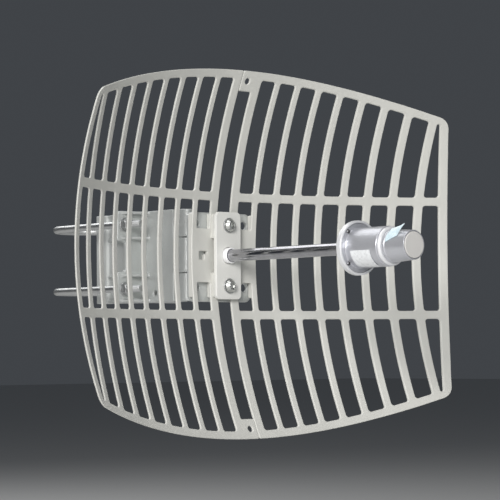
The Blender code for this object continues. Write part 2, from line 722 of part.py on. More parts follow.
def hub_bracket(shop):
    """The plate behind the hub, with two arms that carry the outer knuckles of the hinge."""
    back = VERTEX_Y - BASE_FRONT_DEPTH
    loops = [rectangle(-BASE_HALF_WIDTH, BASE_Z[0], BASE_HALF_WIDTH, BASE_Z[1], BASE_CORNER_R, 4)]
    loops.append(circle((0, 0), TUBE_R + GAP, 24))
    for x in (-SPARE_HOLE_XZ, SPARE_HOLE_XZ):
        for z in (-SPARE_HOLE_XZ, SPARE_HOLE_XZ):
            loops.append(circle((x, z), M6_HOLE_R, 16))
    base = facing_plate(shop, "base", loops, BASE_FRONT_DEPTH - BASE_THICKNESS, BASE_THICKNESS)
    pieces = []
    for side in (-1, 1):
        near = side * (KNUCKLE_SPLIT + GAP)
        low, high = sorted((near, side * KNUCKLE_END))
        pieces.append(knuckle(shop, f"outer_knuckle_{side + 1}", low, high))
        low, high = sorted((near + side * 0.0004, side * ARM_END))
        arm_low = (-ARM_HALF_WIDTH, back + 0.001, BRACKET_RISE + low)
        arm_high = (ARM_HALF_WIDTH, HINGE_Y - 0.002, BRACKET_RISE + high)
        pieces.append(box(shop, f"arm_{side + 1}", arm_low, arm_high))
    shop.join(base, pieces)
    skew = (0, 0, math.radians(4))  # keeps the cutters' corners off the knuckles' own corners
    holes = [place(rod(shop, "hinge_bore", M6_R + GAP, -0.05, 0.05, 20), (0, HINGE_Y, 0), skew)]
    shelf = BRACKET_RISE + KNUCKLE_END - BOLT_HEAD_RECESS
    holes.append(place(rod(shop, "head_recess", 0.0054, shelf, shelf + 0.02, 24), (0, HINGE_Y, 0), skew))
    shelf = BRACKET_RISE - KNUCKLE_END + HINGE_NUT_RECESS
    holes.append(place(rod(shop, "nut_recess", 0.0062, shelf - 0.02, shelf, 24), (0, HINGE_Y, 0), skew))
    for side in (-1, 1):
        hole = rod(shop, f"thread_{side + 1}", M6_HOLE_R, -0.018, 0.01, 20)
        holes.append(place(hole, (0, VERTEX_Y, side * CLAMP_SCREW_Z), (math.radians(90), 0, 0)))
    shop.finish(shop.cut(base, holes), "hub_bracket", "cast_metal")


def hinge_hardware(shop):
    under_head = BRACKET_RISE + KNUCKLE_END - BOLT_HEAD_RECESS + GAP
    end = BRACKET_RISE - KNUCKLE_END + HINGE_NUT_LIFT
    head_r, head = 0.0050, 0.0058
    top = under_head + head
    profile = [
        (0, top), (head_r - 0.0004, top), (head_r, top - 0.0004), (head_r, under_head),
        (M6_R, under_head), (M6_R, end), (0, end),
    ]
    bolt = turned(shop, "bolt", profile, steps=24)
    socket_width, socket_depth = 0.0050, 0.0030
    socket = slab(shop, "bolt_socket", [hexagon(socket_width)], 2 * socket_depth)
    place(socket, (0, 0, top - socket_depth))
    bolt = place(shop.bake(shop.cut(bolt, [socket])), (0, HINGE_Y, 0))
    shop.finish(bolt, "hinge_bolt", "zinc")
    nut_height = HINGE_NUT_RECESS - 2 * HINGE_NUT_LIFT
    nut = hex_nut(shop, "nut", NUT_ACROSS_FLATS, nut_height, M6_R + GAP)
    shop.finish(place(nut, (0, HINGE_Y, end)), "hinge_nut", "zinc")


def gusset(side):
    """A stiffening plate's outline in (x, y), from the side wall to the flange's end and the saddle."""
    flange = BRACKET_FLANGE_Y
    back = flange + BRACKET_FLANGE_THICKNESS
    reach = BRACKET_HALF_WIDTH - 0.0005
    spine, web, web_end = SPINE_HALF_WIDTH - 0.001, 0.0015, -0.0360
    outline = [
        (spine, flange - 0.011), (reach, flange + 0.0005), (reach, back - 0.0005), (0.0200, back + 0.006),
        (web + 0.0020, web_end), (web, web_end), (web, back - 0.001), (spine, back - 0.001),
    ]
    return [(side * x, y) for x, y in outline]


def saddle_outline():
    """The web and, at its end, the saddle: a shallow V whose faces touch the mast."""
    touch_x = 0.0040
    slope = touch_x / MAST_R
    touch_y = -math.sqrt(MAST_R ** 2 - touch_x ** 2)
    grade = math.tan(math.asin(slope))
    valley_y = touch_y - touch_x * grade
    tip_y = touch_y + (SADDLE_HALF_WIDTH - touch_x) * grade
    web = 0.0030
    start = BRACKET_FLANGE_Y + 0.002
    right = [(web, start), (web, -0.0370), (SADDLE_HALF_WIDTH - 0.0015, -0.0340), (SADDLE_HALF_WIDTH, tip_y)]
    left = [(-x, y) for x, y in reversed(right)]
    return right + [(0, valley_y)] + left


def mast_bracket(shop):
    low = BRACKET_RISE - BRACKET_HALF_HEIGHT
    tall = 2 * BRACKET_HALF_HEIGHT
    w = SPINE_HALF_WIDTH
    spine_front = HINGE_Y + KNUCKLE_R + 0.002
    spine_back = BRACKET_FLANGE_Y + 0.001
    inside = w - SPINE_WALL
    loops = [rectangle(-w, spine_front, w, spine_back, 0.002)]
    loops.append(rectangle(-inside, spine_front + SPINE_WALL, inside, spine_back - SPINE_WALL, 0.002))
    spine = level_plate(shop, "spine", loops, low + 0.0002, tall - 0.0004)

    split = KNUCKLE_SPLIT - GAP
    pieces = [knuckle(shop, "middle_knuckle", -split, split)]
    neck_z = split - 0.0004
    neck_low = (-w + 0.0004, HINGE_Y, BRACKET_RISE - neck_z)
    neck_high = (w - 0.0004, spine_front + 0.001, BRACKET_RISE + neck_z)
    pieces.append(box(shop, "neck", neck_low, neck_high))
    edge = BRACKET_HALF_WIDTH
    notch_x, notch_z, mouth_z = 0.0255, 0.0122, 0.0135
    right = [
        (edge, -BRACKET_HALF_HEIGHT, 0.004), (edge, -mouth_z, 0.001), (notch_x, -notch_z, 0.002),
        (notch_x, notch_z, 0.002), (edge, mouth_z, 0.001), (edge, BRACKET_HALF_HEIGHT, 0.004),
    ]
    flange = [rounded(right + [(-x, z, r) for x, z, r in reversed(right)])]
    for x in (-U_BEND_R, U_BEND_R):
        for z in (-U_BOLT_Z, U_BOLT_Z):
            flange.append(circle((x, z), M6_HOLE_R + 0.0001, 20))
    plate = slab(shop, "bracket_flange", flange, BRACKET_FLANGE_THICKNESS)
    back = BRACKET_FLANGE_Y + BRACKET_FLANGE_THICKNESS
    pieces.append(place(plate, (0, back, BRACKET_RISE), (math.radians(90), 0, 0)))
    pieces.append(level_plate(shop, "web", [saddle_outline()], low + 0.0005, tall - 0.0010))
    for level in GUSSET_LEVELS:
        for side in (-1, 1):
            z = BRACKET_RISE + level - GUSSET_THICKNESS / 2
            pieces.append(level_plate(shop, f"gusset_{side}_{level}", [gusset(side)], z, GUSSET_THICKNESS))
    shop.join(spine, pieces)

    skew = (0, 0, math.radians(4))
    cutters = [place(rod(shop, "hinge_bore_2", M6_R + GAP, -0.05, 0.05, 20), (0, HINGE_Y, 0), skew)]
    for side in (-1, 1):
        z = BRACKET_RISE + side * KNUCKLE_SPLIT
        slit_low = (-0.02, spine_front - 0.001, z - 0.0005)
        slit_high = (0.02, spine_front + 0.009, z + 0.0005)
        cutters.append(box(shop, f"slit_{side}", slit_low, slit_high))
    hole = rod(shop, "wall_hole", 0.0024, -0.03, 0.03, 16)
    cutters.append(place(hole, (0, VERTEX_Y + 0.080, BRACKET_RISE - 0.0310), (0, math.radians(90), 0)))
    shop.finish(shop.cut(spine, cutters), "mast_bracket", "cast_metal")


def u_bolt(shop, name, z):
    """A round rod bent half a turn about the mast, with its two legs running forwards."""
    bend = arc((0, 0), U_BEND_R, 180, 0, 18)
    leg = [(U_BEND_R, U_LEG_END_Y)]
    points = [(-U_BEND_R, U_LEG_END_Y)] + bend + leg
    curve = bpy.data.curves.new(name, "CURVE")
    curve.dimensions = "3D"
    curve.bevel_depth = M6_R
    curve.bevel_resolution = 3
    curve.use_fill_caps = True
    spline = curve.splines.new("POLY")
    spline.points.add(len(points) - 1)
    for point, (x, y) in zip(spline.points, points):
        point.co = (x, y, 0, 1)
    wire = place(shop.mesh_object(name + "_wire", curve), (0, 0, z))
    mesh = shop.evaluated_mesh(wire)
    bpy.data.objects.remove(wire, do_unlink=True)
    bm = bmesh.new()
    bm.from_mesh(mesh)
    bmesh.ops.remove_doubles(bm, verts=bm.verts, dist=WELD)
    bmesh.ops.recalc_face_normals(bm, faces=bm.faces)
    bm.to_mesh(mesh)
    bm.free()
    rod_object = place(shop.mesh_object(name + "_rod", mesh), (0, 0, z))
    shop.finish(rod_object, name, "zinc")


def u_bolt_hardware(shop):
    washer_y = BRACKET_FLANGE_Y - GAP - WASHER_THICKNESS
    nut_y = washer_y - GAP - NUT_HEIGHT
    for row, side_z in (("upper", 1), ("lower", -1)):
        z = BRACKET_RISE + side_z * U_BOLT_Z
        u_bolt(shop, f"u_bolt_{row}", z)
        for hand, side_x in (("left", -1), ("right", 1)):
            x = side_x * U_BEND_R
            washer = ring(shop, "washer", M6_HOLE_R, WASHER_R, 0, WASHER_THICKNESS, 18)
            place(washer, (x, washer_y + WASHER_THICKNESS, z), (math.radians(90), 0, 0))
            shop.finish(washer, f"u_washer_{row}_{hand}", "zinc")
            nut = hex_nut(shop, "nut", NUT_ACROSS_FLATS, NUT_HEIGHT, M6_R + GAP)
            place(nut, (x, nut_y + NUT_HEIGHT, z), (math.radians(90), 0, 0))
            shop.finish(nut, f"u_nut_{row}_{hand}", "zinc")


def build():
    clear_scene()
    shop = Workshop()
    reflector_half(shop, "reflector_right", half_turn=False)
    reflector_half(shop, "reflector_left", half_turn=True)
    feed_clamp(shop)
    feed_line(shop)
    feed_head(shop)
    sticker(shop, "housing_label", CAN_R, (190, 250), (0.168, 0.189))
    sticker(shop, "front_label", FRONT_CAN_R - 0.0002, (170, 110), (0.2025, 0.2130), lift=0.0045)
    hub_bracket(shop)
    hinge_hardware(shop)
    mast_bracket(shop)
    u_bolt_hardware(shop)


build()
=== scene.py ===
"""Looks of the parabolic grid antenna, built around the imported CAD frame.

Metres, in the frame of the CAD: the origin is on the mast's axis, level with the boresight, and the boresight
points along -Y. "Depth" is the distance from the reflector's vertex along the boresight.
"""

import math

import bmesh
import bpy
from mathutils import Matrix, Vector, noise


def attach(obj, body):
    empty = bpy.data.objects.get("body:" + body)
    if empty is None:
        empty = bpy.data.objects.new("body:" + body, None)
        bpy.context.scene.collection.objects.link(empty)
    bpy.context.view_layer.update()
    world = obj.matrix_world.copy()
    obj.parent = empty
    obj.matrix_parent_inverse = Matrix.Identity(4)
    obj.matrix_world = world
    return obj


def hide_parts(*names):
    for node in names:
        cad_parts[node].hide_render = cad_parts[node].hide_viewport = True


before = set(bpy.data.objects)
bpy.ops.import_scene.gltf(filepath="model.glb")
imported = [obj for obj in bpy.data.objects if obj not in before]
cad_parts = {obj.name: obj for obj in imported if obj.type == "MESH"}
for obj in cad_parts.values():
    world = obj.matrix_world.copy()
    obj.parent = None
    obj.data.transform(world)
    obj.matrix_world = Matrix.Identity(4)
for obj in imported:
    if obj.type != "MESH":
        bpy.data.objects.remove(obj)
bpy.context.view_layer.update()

VERTEX_Y = -0.186
GAP = 0.0003  # between pieces that touch

# --- materials ----------------------------------------------------------------------------------------------


class NodeMaker:
    """Adds shader nodes to one material and links them."""

    def __init__(self, name):
        self.material = bpy.data.materials.new(name)
        self.material.use_nodes = True
        self.tree = self.material.node_tree
        self.shader = self.tree.nodes["Principled BSDF"]
        self.place = self.tree.nodes.new("ShaderNodeTexCoord").outputs["Object"]

    def add(self, kind, **settings):
        node = self.tree.nodes.new(kind)
        for name, value in settings.items():
            setattr(node, name, value)
        return node

    def link(self, source, target):
        self.tree.links.new(source, target)

    def stretched(self, scale):
        """The object's coordinates, scaled per axis."""
        mapping = self.add("ShaderNodeMapping")
        mapping.inputs["Scale"].default_value = scale
        self.link(self.place, mapping.inputs["Vector"])
        return mapping.outputs["Vector"]

    def noise(self, scale, detail=3.0, roughness=0.55, vector=None):
        node = self.add("ShaderNodeTexNoise")
        node.inputs["Scale"].default_value = scale
        node.inputs["Detail"].default_value = detail
        node.inputs["Roughness"].default_value = roughness
        self.link(vector or self.place, node.inputs["Vector"])
        return node.outputs["Fac"]

    def ramp(self, factor, stops):
        node = self.add("ShaderNodeValToRGB")
        elements = node.color_ramp.elements
        while len(elements) < len(stops):
            elements.new(0.5)
        for element, (position, colour) in zip(elements, stops):
            element.position = position
            element.color = (*colour, 1.0)
        self.link(factor, node.inputs["Fac"])
        return node.outputs["Color"]

    def span(self, factor, low, high):
        """Maps a noise value, which is mostly from 0.3 to 0.7, to the range from low to high."""
        node = self.add("ShaderNodeMapRange")
        node.inputs["From Min"].default_value = 0.3
        node.inputs["From Max"].default_value = 0.7
        node.inputs["To Min"].default_value = low
        node.inputs["To Max"].default_value = high
        self.link(factor, node.inputs["Value"])
        return node.outputs["Result"]

    def mixed(self, factor, first, second):
        node = self.add("ShaderNodeMix", data_type="RGBA")
        self.link(factor, node.inputs["Factor"])
        for socket, value in (("A", first), ("B", second)):
            target = next(s for s in node.inputs if s.name == socket and s.type == "RGBA")
            if isinstance(value, tuple):
                target.default_value = (*value, 1.0)
            else:
                self.link(value, target)
        return next(s for s in node.outputs if s.type == "RGBA")

    def bump(self, height, strength, distance, normal=None):
        node = self.add("ShaderNodeBump")
        node.inputs["Strength"].default_value = strength
        node.inputs["Distance"].default_value = distance
        self.link(height, node.inputs["Height"])
        if normal:
            self.link(normal, node.inputs["Normal"])
        return node.outputs["Normal"]

    def finish(self, colour, roughness, normal, **constants):
        """Links the three outputs to the shader. The constants are its other inputs, with _ for a space."""
        for name, value in (("Base Color", colour), ("Roughness", roughness), ("Normal", normal)):
            self.link(value, self.shader.inputs[name])
        for name, value in constants.items():
            self.shader.inputs[name.replace("_", " ")].default_value = value
        return self.material


def shade(colour, factor):
    """A colour made lighter or darker."""
    return tuple(min(1.0, c * factor) for c in colour)


def coated(name, colour, grain, depth, rough, tint, metallic=0.0, coat=0.0):
    """A painted, cast or moulded surface, with soft colour clouds, and fine grain in its relief.

    Grain is the scale of the grain's noise and depth the strength of its relief. Rough is the roughness,
    and tint is how far the colour strays.
    """
    m = NodeMaker(name)
    clouds = m.noise(28.0, 4.0)
    speck = m.noise(grain, 2.0)
    base = m.ramp(clouds, [(0.35, shade(colour, 1 - tint)), (0.65, shade(colour, 1 + tint * 0.6))])
    base = m.mixed(m.span(speck, 0.0, 0.35), base, shade(colour, 1 - 1.6 * tint))
    dust = m.noise(9.0, 5.0, 0.7)
    relief = m.bump(m.noise(grain, 2.0, 0.5), depth, 0.0004)
    relief = m.bump(m.noise(grain * 0.22, 1.0, 0.5), depth * 0.6, 0.0008, relief)
    gloss = m.span(dust, rough - 0.05, rough + 0.07)
    return m.finish(base, gloss, relief, Metallic=metallic, Coat_Weight=coat, Coat_Roughness=0.25)


def plated(name, colour, rough, stretch, tint=0.10, depth=0.08):
    """Bare or plated metal. Stretch is the scale of its streaks' noise along each axis."""
    m = NodeMaker(name)
    streaks = m.noise(1.0, 3.0, 0.6, m.stretched(stretch))
    clouds = m.noise(160.0, 3.0)
    base = m.ramp(clouds, [(0.3, shade(colour, 1 - tint)), (0.7, shade(colour, 1 + tint * 0.4))])
    base = m.mixed(m.span(streaks, 0.0, 0.45), base, shade(colour, 1 - 2.0 * tint))
    relief = m.bump(streaks, depth, 0.0001)
    return m.finish(base, m.span(streaks, rough - 0.04, rough + 0.08), relief, Metallic=1.0)


def label_film(name, colour, rough):
    """A blank label film with creases and fibres, and painted shade in the creases' hollows."""
    m = NodeMaker(name)
    creases = m.noise(420.0, 4.0, 0.65)
    fibres = m.noise(1500.0, 2.0)
    # Painted shade: the colour is darker where the crease noise is low, in the hollows of the crease relief.
    base = m.ramp(creases, [(0.35, shade(colour, 0.86)), (0.6, colour)])
    base = m.mixed(m.span(fibres, 0.0, 0.2), base, shade(colour, 0.8))
    relief = m.bump(creases, 0.35, 0.0004)
    gloss = m.span(creases, rough - 0.06, rough + 0.1)
    return m.finish(base, gloss, relief, Coat_Weight=0.3, Coat_Roughness=0.12)


MATERIALS = {
    "powder_coat": coated("powder_coat_paint", (0.60, 0.60, 0.565), 1500.0, 0.16, 0.42, 0.045, coat=0.12),
    "clamp_coat": coated("clamp_powder_coat", (0.72, 0.72, 0.69), 1500.0, 0.14, 0.36, 0.04, coat=0.2),
    "cast_metal": coated("cast_bracket_metal", (0.53, 0.55, 0.54), 900.0, 0.30, 0.42, 0.07, metallic=0.35),
    "zinc": plated("zinc_plate", (0.60, 0.61, 0.61), 0.40, (500.0, 500.0, 500.0)),
    "screw_zinc": plated("screw_zinc_plate", (0.62, 0.63, 0.61), 0.27, (500.0, 500.0, 500.0)),
    "chrome": plated("chromed_tube", (0.48, 0.48, 0.51), 0.09, (700.0, 14.0, 700.0), 0.14, 0.16),
    "silver_paint": coated("silver_can_paint", (0.58, 0.59, 0.63), 2200.0, 0.12, 0.30, 0.05,
                           metallic=0.62, coat=0.15),
    # The same silver paint made lighter: a painted highlight for the light that falls on the flange's rim and
    # the step ring.
    "silver_paint_lit_copy": coated("silver_paint_painted_highlight", (0.78, 0.79, 0.81), 2200.0, 0.12, 0.32, 0.04,
                           metallic=0.30, coat=0.2),
    "pale_plastic": coated("pale_cap_plastic", (0.62, 0.61, 0.59), 700.0, 0.12, 0.42, 0.03),
    "white_plastic": coated("white_bush_plastic", (0.88, 0.88, 0.89), 900.0, 0.08, 0.30, 0.02, coat=0.3),
    "black_plastic": coated("black_gland_plastic", (0.028, 0.028, 0.030), 1200.0, 0.25, 0.45, 0.15),
    "rubber": coated("seal_rubber", (0.035, 0.034, 0.033), 1300.0, 0.35, 0.70, 0.15),
    "brass": plated("turned_brass", (0.74, 0.56, 0.26), 0.26, (60.0, 900.0, 60.0)),
    "dark_steel": plated("dark_screw_steel", (0.16, 0.16, 0.17), 0.34, (500.0, 500.0, 500.0)),
    "label": label_film("label_film", (0.84, 0.86, 0.88), 0.30),
    "blue_label": label_film("blue_label_film", (0.62, 0.76, 0.82), 0.25),
}

# --- outlines -----------------------------------------------------------------------------------------------


def arc(centre, radius, start_deg, end_deg, steps):
    angles = [math.radians(start_deg + (end_deg - start_deg) * i / steps) for i in range(steps + 1)]
    return [(centre[0] + radius * math.cos(a), centre[1] + radius * math.sin(a)) for a in angles]


def circle(centre, radius, sides=48):
    return arc(centre, radius, 0, 360, sides)[:-1]


def rounded(corners, steps=4, closed=True):
    """Rounds an outline of (x, y, radius) corners. A radius that doesn't fit its edges is made smaller."""
    points = []
    for i, (x, y, radius) in enumerate(corners):
        here = Vector((x, y))
        if radius == 0 or (not closed and i in (0, len(corners) - 1)):
            points.append((x, y))
            continue
        before = Vector(corners[i - 1][:2]) - here
        after = Vector(corners[(i + 1) % len(corners)][:2]) - here
        half_angle = before.angle(after) / 2
        reach = min(radius / math.tan(half_angle), 0.45 * before.length, 0.45 * after.length)
        radius = reach * math.tan(half_angle)
        middle = (before.normalized() + after.normalized()).normalized()
        centre = here + middle * radius / math.sin(half_angle)
        start = here + before.normalized() * reach - centre
        end = here + after.normalized() * reach - centre
        turn = start.angle_signed(end)
        for step in range(steps + 1):
            points.append(tuple(centre + Matrix.Rotation(-turn * step / steps, 2) @ start))
    return points


def rectangle(x0, z0, x1, z1, radius, steps=4):
    return rounded([(x0, z0, radius), (x1, z0, radius), (x1, z1, radius), (x0, z1, radius)], steps)


def subdivided(loop, longest):
    """A closed outline with more points, so that no edge is longer than the longest allowed."""
    points = []
    for start, end in zip(loop, loop[1:] + loop[:1]):
        count = max(1, math.ceil(math.dist(start, end) / longest))
        points += [tuple(a + (b - a) * i / count for a, b in zip(start, end)) for i in range(count)]
    return points


def turned_half(loop):
    """An outline turned half a turn about the boresight."""
    return [(-x, -z) for x, z in loop]


def wound(loop, anticlockwise):
    """A closed outline that runs anticlockwise, or clockwise."""
    area = sum(a[0] * b[1] - b[0] * a[1] for a, b in zip(loop, loop[1:] + loop[:1]))
    return loop if (area > 0) == anticlockwise else loop[::-1]


def inset(loop, distance):
    """Moves every point of a closed outline to its left."""
    moved = []
    for i, point in enumerate(loop):
        here = Vector(point)
        before = (here - Vector(loop[i - 1])).normalized()
        after = (Vector(loop[(i + 1) % len(loop)]) - here).normalized()
        side = Vector((-before.y, before.x))
        middle = (side + Vector((-after.y, after.x))).normalized()
        moved.append(tuple(here + middle * distance / max(middle.dot(side), 0.6)))
    return moved


# --- meshes -------------------------------------------------------------------------------------------------


def bridge(bm, first, second):
    """Faces between two rings of vertices. A ring of one vertex is a tip."""
    count = max(len(first), len(second))
    for i in range(count):
        j = (i + 1) % count
        corners = [first[i % len(first)], first[j % len(first)]]
        corners += [second[j % len(second)], second[i % len(second)]]
        bm.faces.new(dict.fromkeys(corners))


def plate(loops, thickness, bevel, steps=3, spacing=None):
    """A plate in its own XY plane from z = 0 up, with rounded edges. All loops but the first are holes.

    The bevel is the radius of the edges, in so many steps, and spacing is the longest edge of an outline.
    """
    bm = bmesh.new()
    quarter = [(bevel * (1 - math.sin(a)), bevel * (1 - math.cos(a))) for a in
               (math.radians(90) * i / steps for i in range(steps + 1))]
    levels = quarter + [(d, thickness - z) for d, z in reversed(quarter)]
    caps = {0: [], len(levels) - 1: []}
    for index, loop in enumerate(loops):
        loop = wound(loop, index == 0)
        if spacing:
            loop = subdivided(loop, spacing)
        rings = [[bm.verts.new((*p, z)) for p in inset(loop, d)] for d, z in levels]
        for low, high in zip(rings, rings[1:]):
            bridge(bm, low, high)
        for level, edges in caps.items():
            ring = rings[level]
            edges += [bm.edges.get((a, b)) for a, b in zip(ring, ring[1:] + ring[:1])]
    for level, edges in caps.items():
        bmesh.ops.triangle_fill(bm, use_beauty=True, edges=edges, normal=(0, 0, 1 if level else -1))
    return bm


def merge(target, bm, matrix=None):
    """Moves one bmesh into another."""
    if matrix:
        bm.transform(matrix)
    mesh = bpy.data.meshes.new("merged")
    bm.to_mesh(mesh)
    bm.free()
    target.from_mesh(mesh)
    bpy.data.meshes.remove(mesh)


def revolve(profile, steps=72, closed=False):
    """A (radius, z) profile turned about its own Z.

    A point's third value, if it has one, is a function that gives its radius from the angle.
    """
    bm = bmesh.new()
    rings = []
    for radius, z, *shape in profile:
        if radius == 0:
            rings.append([bm.verts.new((0, 0, z))])
            continue
        ring = []
        for i in range(steps):
            angle = 2 * math.pi * i / steps
            r = shape[0](angle) if shape else radius
            ring.append(bm.verts.new((r * math.cos(angle), r * math.sin(angle), z)))
        rings.append(ring)
    for low, high in zip(rings, rings[1:] + (rings[:1] if closed else [])):
        bridge(bm, low, high)
    return bm


def hexagon_radius(across_flats):
    """A function that gives the radius of a hexagon from the angle."""

    def radius(angle):
        return across_flats / 2 / math.cos((angle + math.pi / 6) % (math.pi / 3) - math.pi / 6)

    return radius


def along_boresight(depth=0.0, x=0.0, z=0.0, turn=0.0):
    """Own +Z becomes depth along the boresight."""
    matrix = Matrix.Translation((x, VERTEX_Y - depth, z)) @ Matrix.Rotation(math.radians(90), 4, "X")
    return matrix @ Matrix.Rotation(math.radians(turn), 4, "Z")


def piece(name, bm, material, body, nodes, matrix=None, sharp=38):
    """One finished, named piece that rides on a body and stands for its CAD nodes.

    Its material slot holds that material. Edges of over sharp degrees stay sharp.
    """
    bmesh.ops.recalc_face_normals(bm, faces=bm.faces)
    if matrix:
        bm.transform(matrix)
    mesh = bpy.data.meshes.new(name)
    bm.to_mesh(mesh)
    bm.free()
    mesh.materials.append(MATERIALS[material])
    mesh.shade_smooth()
    mesh.set_sharp_from_angle(angle=math.radians(sharp))
    obj = bpy.data.objects.new(name, mesh)
    bpy.context.scene.collection.objects.link(obj)
    obj.modifiers.new("normals", "WEIGHTED_NORMAL").keep_sharp = True
    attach(obj, body)
    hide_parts(*nodes)
    return obj


CAST_VOXEL, CAST_SMOOTHING, CAST_KEPT_FACES = 0.0006, 4, 0.45


def cast(name, bm, material, body, nodes):
    """Fuses overlapping shells into one casting with soft edges and fillets."""
    bmesh.ops.recalc_face_normals(bm, faces=bm.faces)
    mesh = bpy.data.meshes.new(name + "_rough")
    bm.to_mesh(mesh)
    bm.free()
    rough = bpy.data.objects.new(name + "_rough", mesh)
    bpy.context.scene.collection.objects.link(rough)
    remesh = rough.modifiers.new("fuse", "REMESH")
    remesh.mode = "VOXEL"
    remesh.voxel_size = CAST_VOXEL
    soften = rough.modifiers.new("soften", "SMOOTH")
    soften.factor = 0.5
    soften.iterations = CAST_SMOOTHING
    thin = rough.modifiers.new("thin", "DECIMATE")
    thin.ratio = CAST_KEPT_FACES
    depsgraph = bpy.context.evaluated_depsgraph_get()
    fused = bpy.data.meshes.new_from_object(rough.evaluated_get(depsgraph))
    bpy.data.objects.remove(rough)
    made = bmesh.new()
    made.from_mesh(fused)
    bpy.data.meshes.remove(fused)
    piece(name, made, material, body, nodes, sharp=60).modifiers.clear()


# --- reflector ----------------------------------------------------------------------------------------------

FOCAL_LENGTH = 0.1515
HALF_WIDTH, HALF_HEIGHT = 0.200, 0.150
TOP_EDGE_BOW, SIDE_EDGE_BOW = 0.91, 0.87
CORNER_R = 0.013
CORNER_CLEARANCE = 0.021  # how far the bowed edges' own points stay from the corner
GRID_THICKNESS, GRID_SPACING = 0.0022, 0.0045  # spacing: the longest edge of an outline
BENDS_PER_RIB = 3  # rows of edges from one rib to the next, along which the flat grid is bent
SIDE_BORDER, TOP_BORDER = 0.0065, 0.0062
INNER_RIB_X = (0.0069, 0.0150)
FIRST_RIB_X, RIB_PITCH, RIB_COUNT = 0.0117, 0.0206, 9
RIB_WIDTH, RIB_GROWTH = 0.0051, 0.00015
CROSS_BAR_Z, CROSS_BAR_WIDTH = 0.0488, 0.0070
SLOT_CORNER_R, WINDOW_CORNER_R, TAB_CORNER_R = 0.0022, 0.0013, 0.0016
HUB_HALF_HEIGHT, BOSS_HALF_HEIGHT, BOSS_BACK, BOSS_MARGIN = 0.0222, 0.0345, 0.0030, 0.0003
PAD_Z, PAD_ROOT_DEPTH, PAD_FACE_DEPTH = (0.0140, 0.0342), -0.0012, 0.0040
KEY_SLOT_X, KEY_ARM_X, KEY_ARM_TOP, KEY_HALF_HEIGHT = (-0.0020, 0.0036), -0.0052, -0.0010, 0.0034
TAB_HEIGHT, TAB_HOLE_R = 0.0160, 0.0025
TAB_Z = HALF_HEIGHT - TAB_HEIGHT / 2
RIB_EDGE_R, BOSS_EDGE_R, PAD_EDGE_R, PAD_CORNER_R = 0.0008, 0.0005, 0.0004, 0.0010
CLAMP_HALF_WIDTH, CLAMP_HALF_HEIGHT = 0.0135, 0.0360


def dish_sag(x, z):
    """The depth of the dish's face."""
    return (x * x + z * z) / (4 * FOCAL_LENGTH)


def top_edge(x, inwards=0.0):
    """The z of the bowed top edge, or of a line that far inside it."""
    return HALF_HEIGHT - inwards - TOP_EDGE_BOW * x * x


def side_edge(z, inwards=0.0):
    """The x of the bowed side edge, or of a line that far inside it."""
    return HALF_WIDTH - inwards - SIDE_EDGE_BOW * z * z


def edge_meeting():
    """The x and z where the top and side edges would meet."""
    z = HALF_HEIGHT
    for _ in range(40):
        z = top_edge(side_edge(z))
    return side_edge(z), z


def rib_sides(index):
    """The inner and outer x of a rib. Rib 0 is the inner one, along the seam."""
    if index == 0:
        return INNER_RIB_X
    middle = FIRST_RIB_X + RIB_PITCH * index
    half = (RIB_WIDTH + RIB_GROWTH * index) / 2
    return middle - half, middle + half


def half_outline():
    """The outline of the right half, with its tab at the top."""
    inner = rib_sides(0)[0]
    far_x, far_z = edge_meeting()
    spans = 24
    tops = [inner + (far_x - inner) * i / spans for i in range(spans)]
    sides = [far_z * (1 - 2 * i / spans) for i in range(1, spans)]
    loop = [(x, -top_edge(x), 0) for x in tops]
    loop[0] = (*loop[0][:2], TAB_CORNER_R)
    loop = [p for p in loop if far_x - p[0] > CORNER_CLEARANCE]
    loop.append((far_x, -far_z, CORNER_R))
    loop += [(side_edge(z), z, 0) for z in reversed(sides) if far_z - abs(z) > CORNER_CLEARANCE]
    loop.append((far_x, far_z, CORNER_R))
    loop += [(x, top_edge(x), 0) for x in reversed(tops) if far_x - x > CORNER_CLEARANCE]
    tab_x = -inner + GAP
    low = HALF_HEIGHT - TAB_HEIGHT
    loop += [(x, z, TAB_CORNER_R) for x, z in ((tab_x, top_edge(tab_x)), (tab_x, low), (inner, low))]
    return rounded(loop, 7)


def grid_opening(column, row):
    """The opening outside a rib, where row is 0 between the cross bars, 1 above them and -1 below."""
    left = rib_sides(column)[1]
    bar = CROSS_BAR_WIDTH / 2
    low = CROSS_BAR_Z + bar
    mid = CROSS_BAR_Z - bar
    if column < RIB_COUNT - 1:
        right = rib_sides(column + 1)[0]
        if row == 0:
            return rectangle(left, -mid, right, mid, SLOT_CORNER_R)
        corners = [(left, low), (right, low)] + [(x, top_edge(x, TOP_BORDER)) for x in (right, left)]
    else:
        first, last = (-mid, mid) if row == 0 else (low, top_edge(left, TOP_BORDER))
        levels = [first + (last - first) * i / 6 for i in range(7)]
        corners = [(left, first)] + [(side_edge(z, SIDE_BORDER), z) for z in levels] + [(left, last)]
    if row == -1:
        corners = [(x, -z) for x, z in reversed(corners)]
    return rounded([(x, z, SLOT_CORNER_R) for x, z in corners])


def keyhole(margin):
    """The L-shaped hole in the middle of the hub, made larger all round by margin."""
    x = (rib_sides(0)[1] + rib_sides(1)[0]) / 2
    near, far = KEY_SLOT_X[0] - margin, KEY_SLOT_X[1] + margin
    arm_x, arm_top, end = KEY_ARM_X - margin, KEY_ARM_TOP + margin, KEY_HALF_HEIGHT + margin
    corners = [(arm_x, -end), (far, -end), (far, end), (near, end), (near, arm_top), (arm_x, arm_top)]
    return rounded([(x + dx, z, 0.0005) for dx, z in corners], 2)


def hub_openings():
    """The two windows above and below the solid middle of the hub, and its keyhole."""
    left, right = rib_sides(0)[1], rib_sides(1)[0]
    high = CROSS_BAR_Z - CROSS_BAR_WIDTH / 2
    upper = rectangle(left, HUB_HALF_HEIGHT, right, high, WINDOW_CORNER_R)
    lower = rectangle(left, -high, right, -HUB_HALF_HEIGHT, WINDOW_CORNER_R)
    return [upper, lower, keyhole(0)]


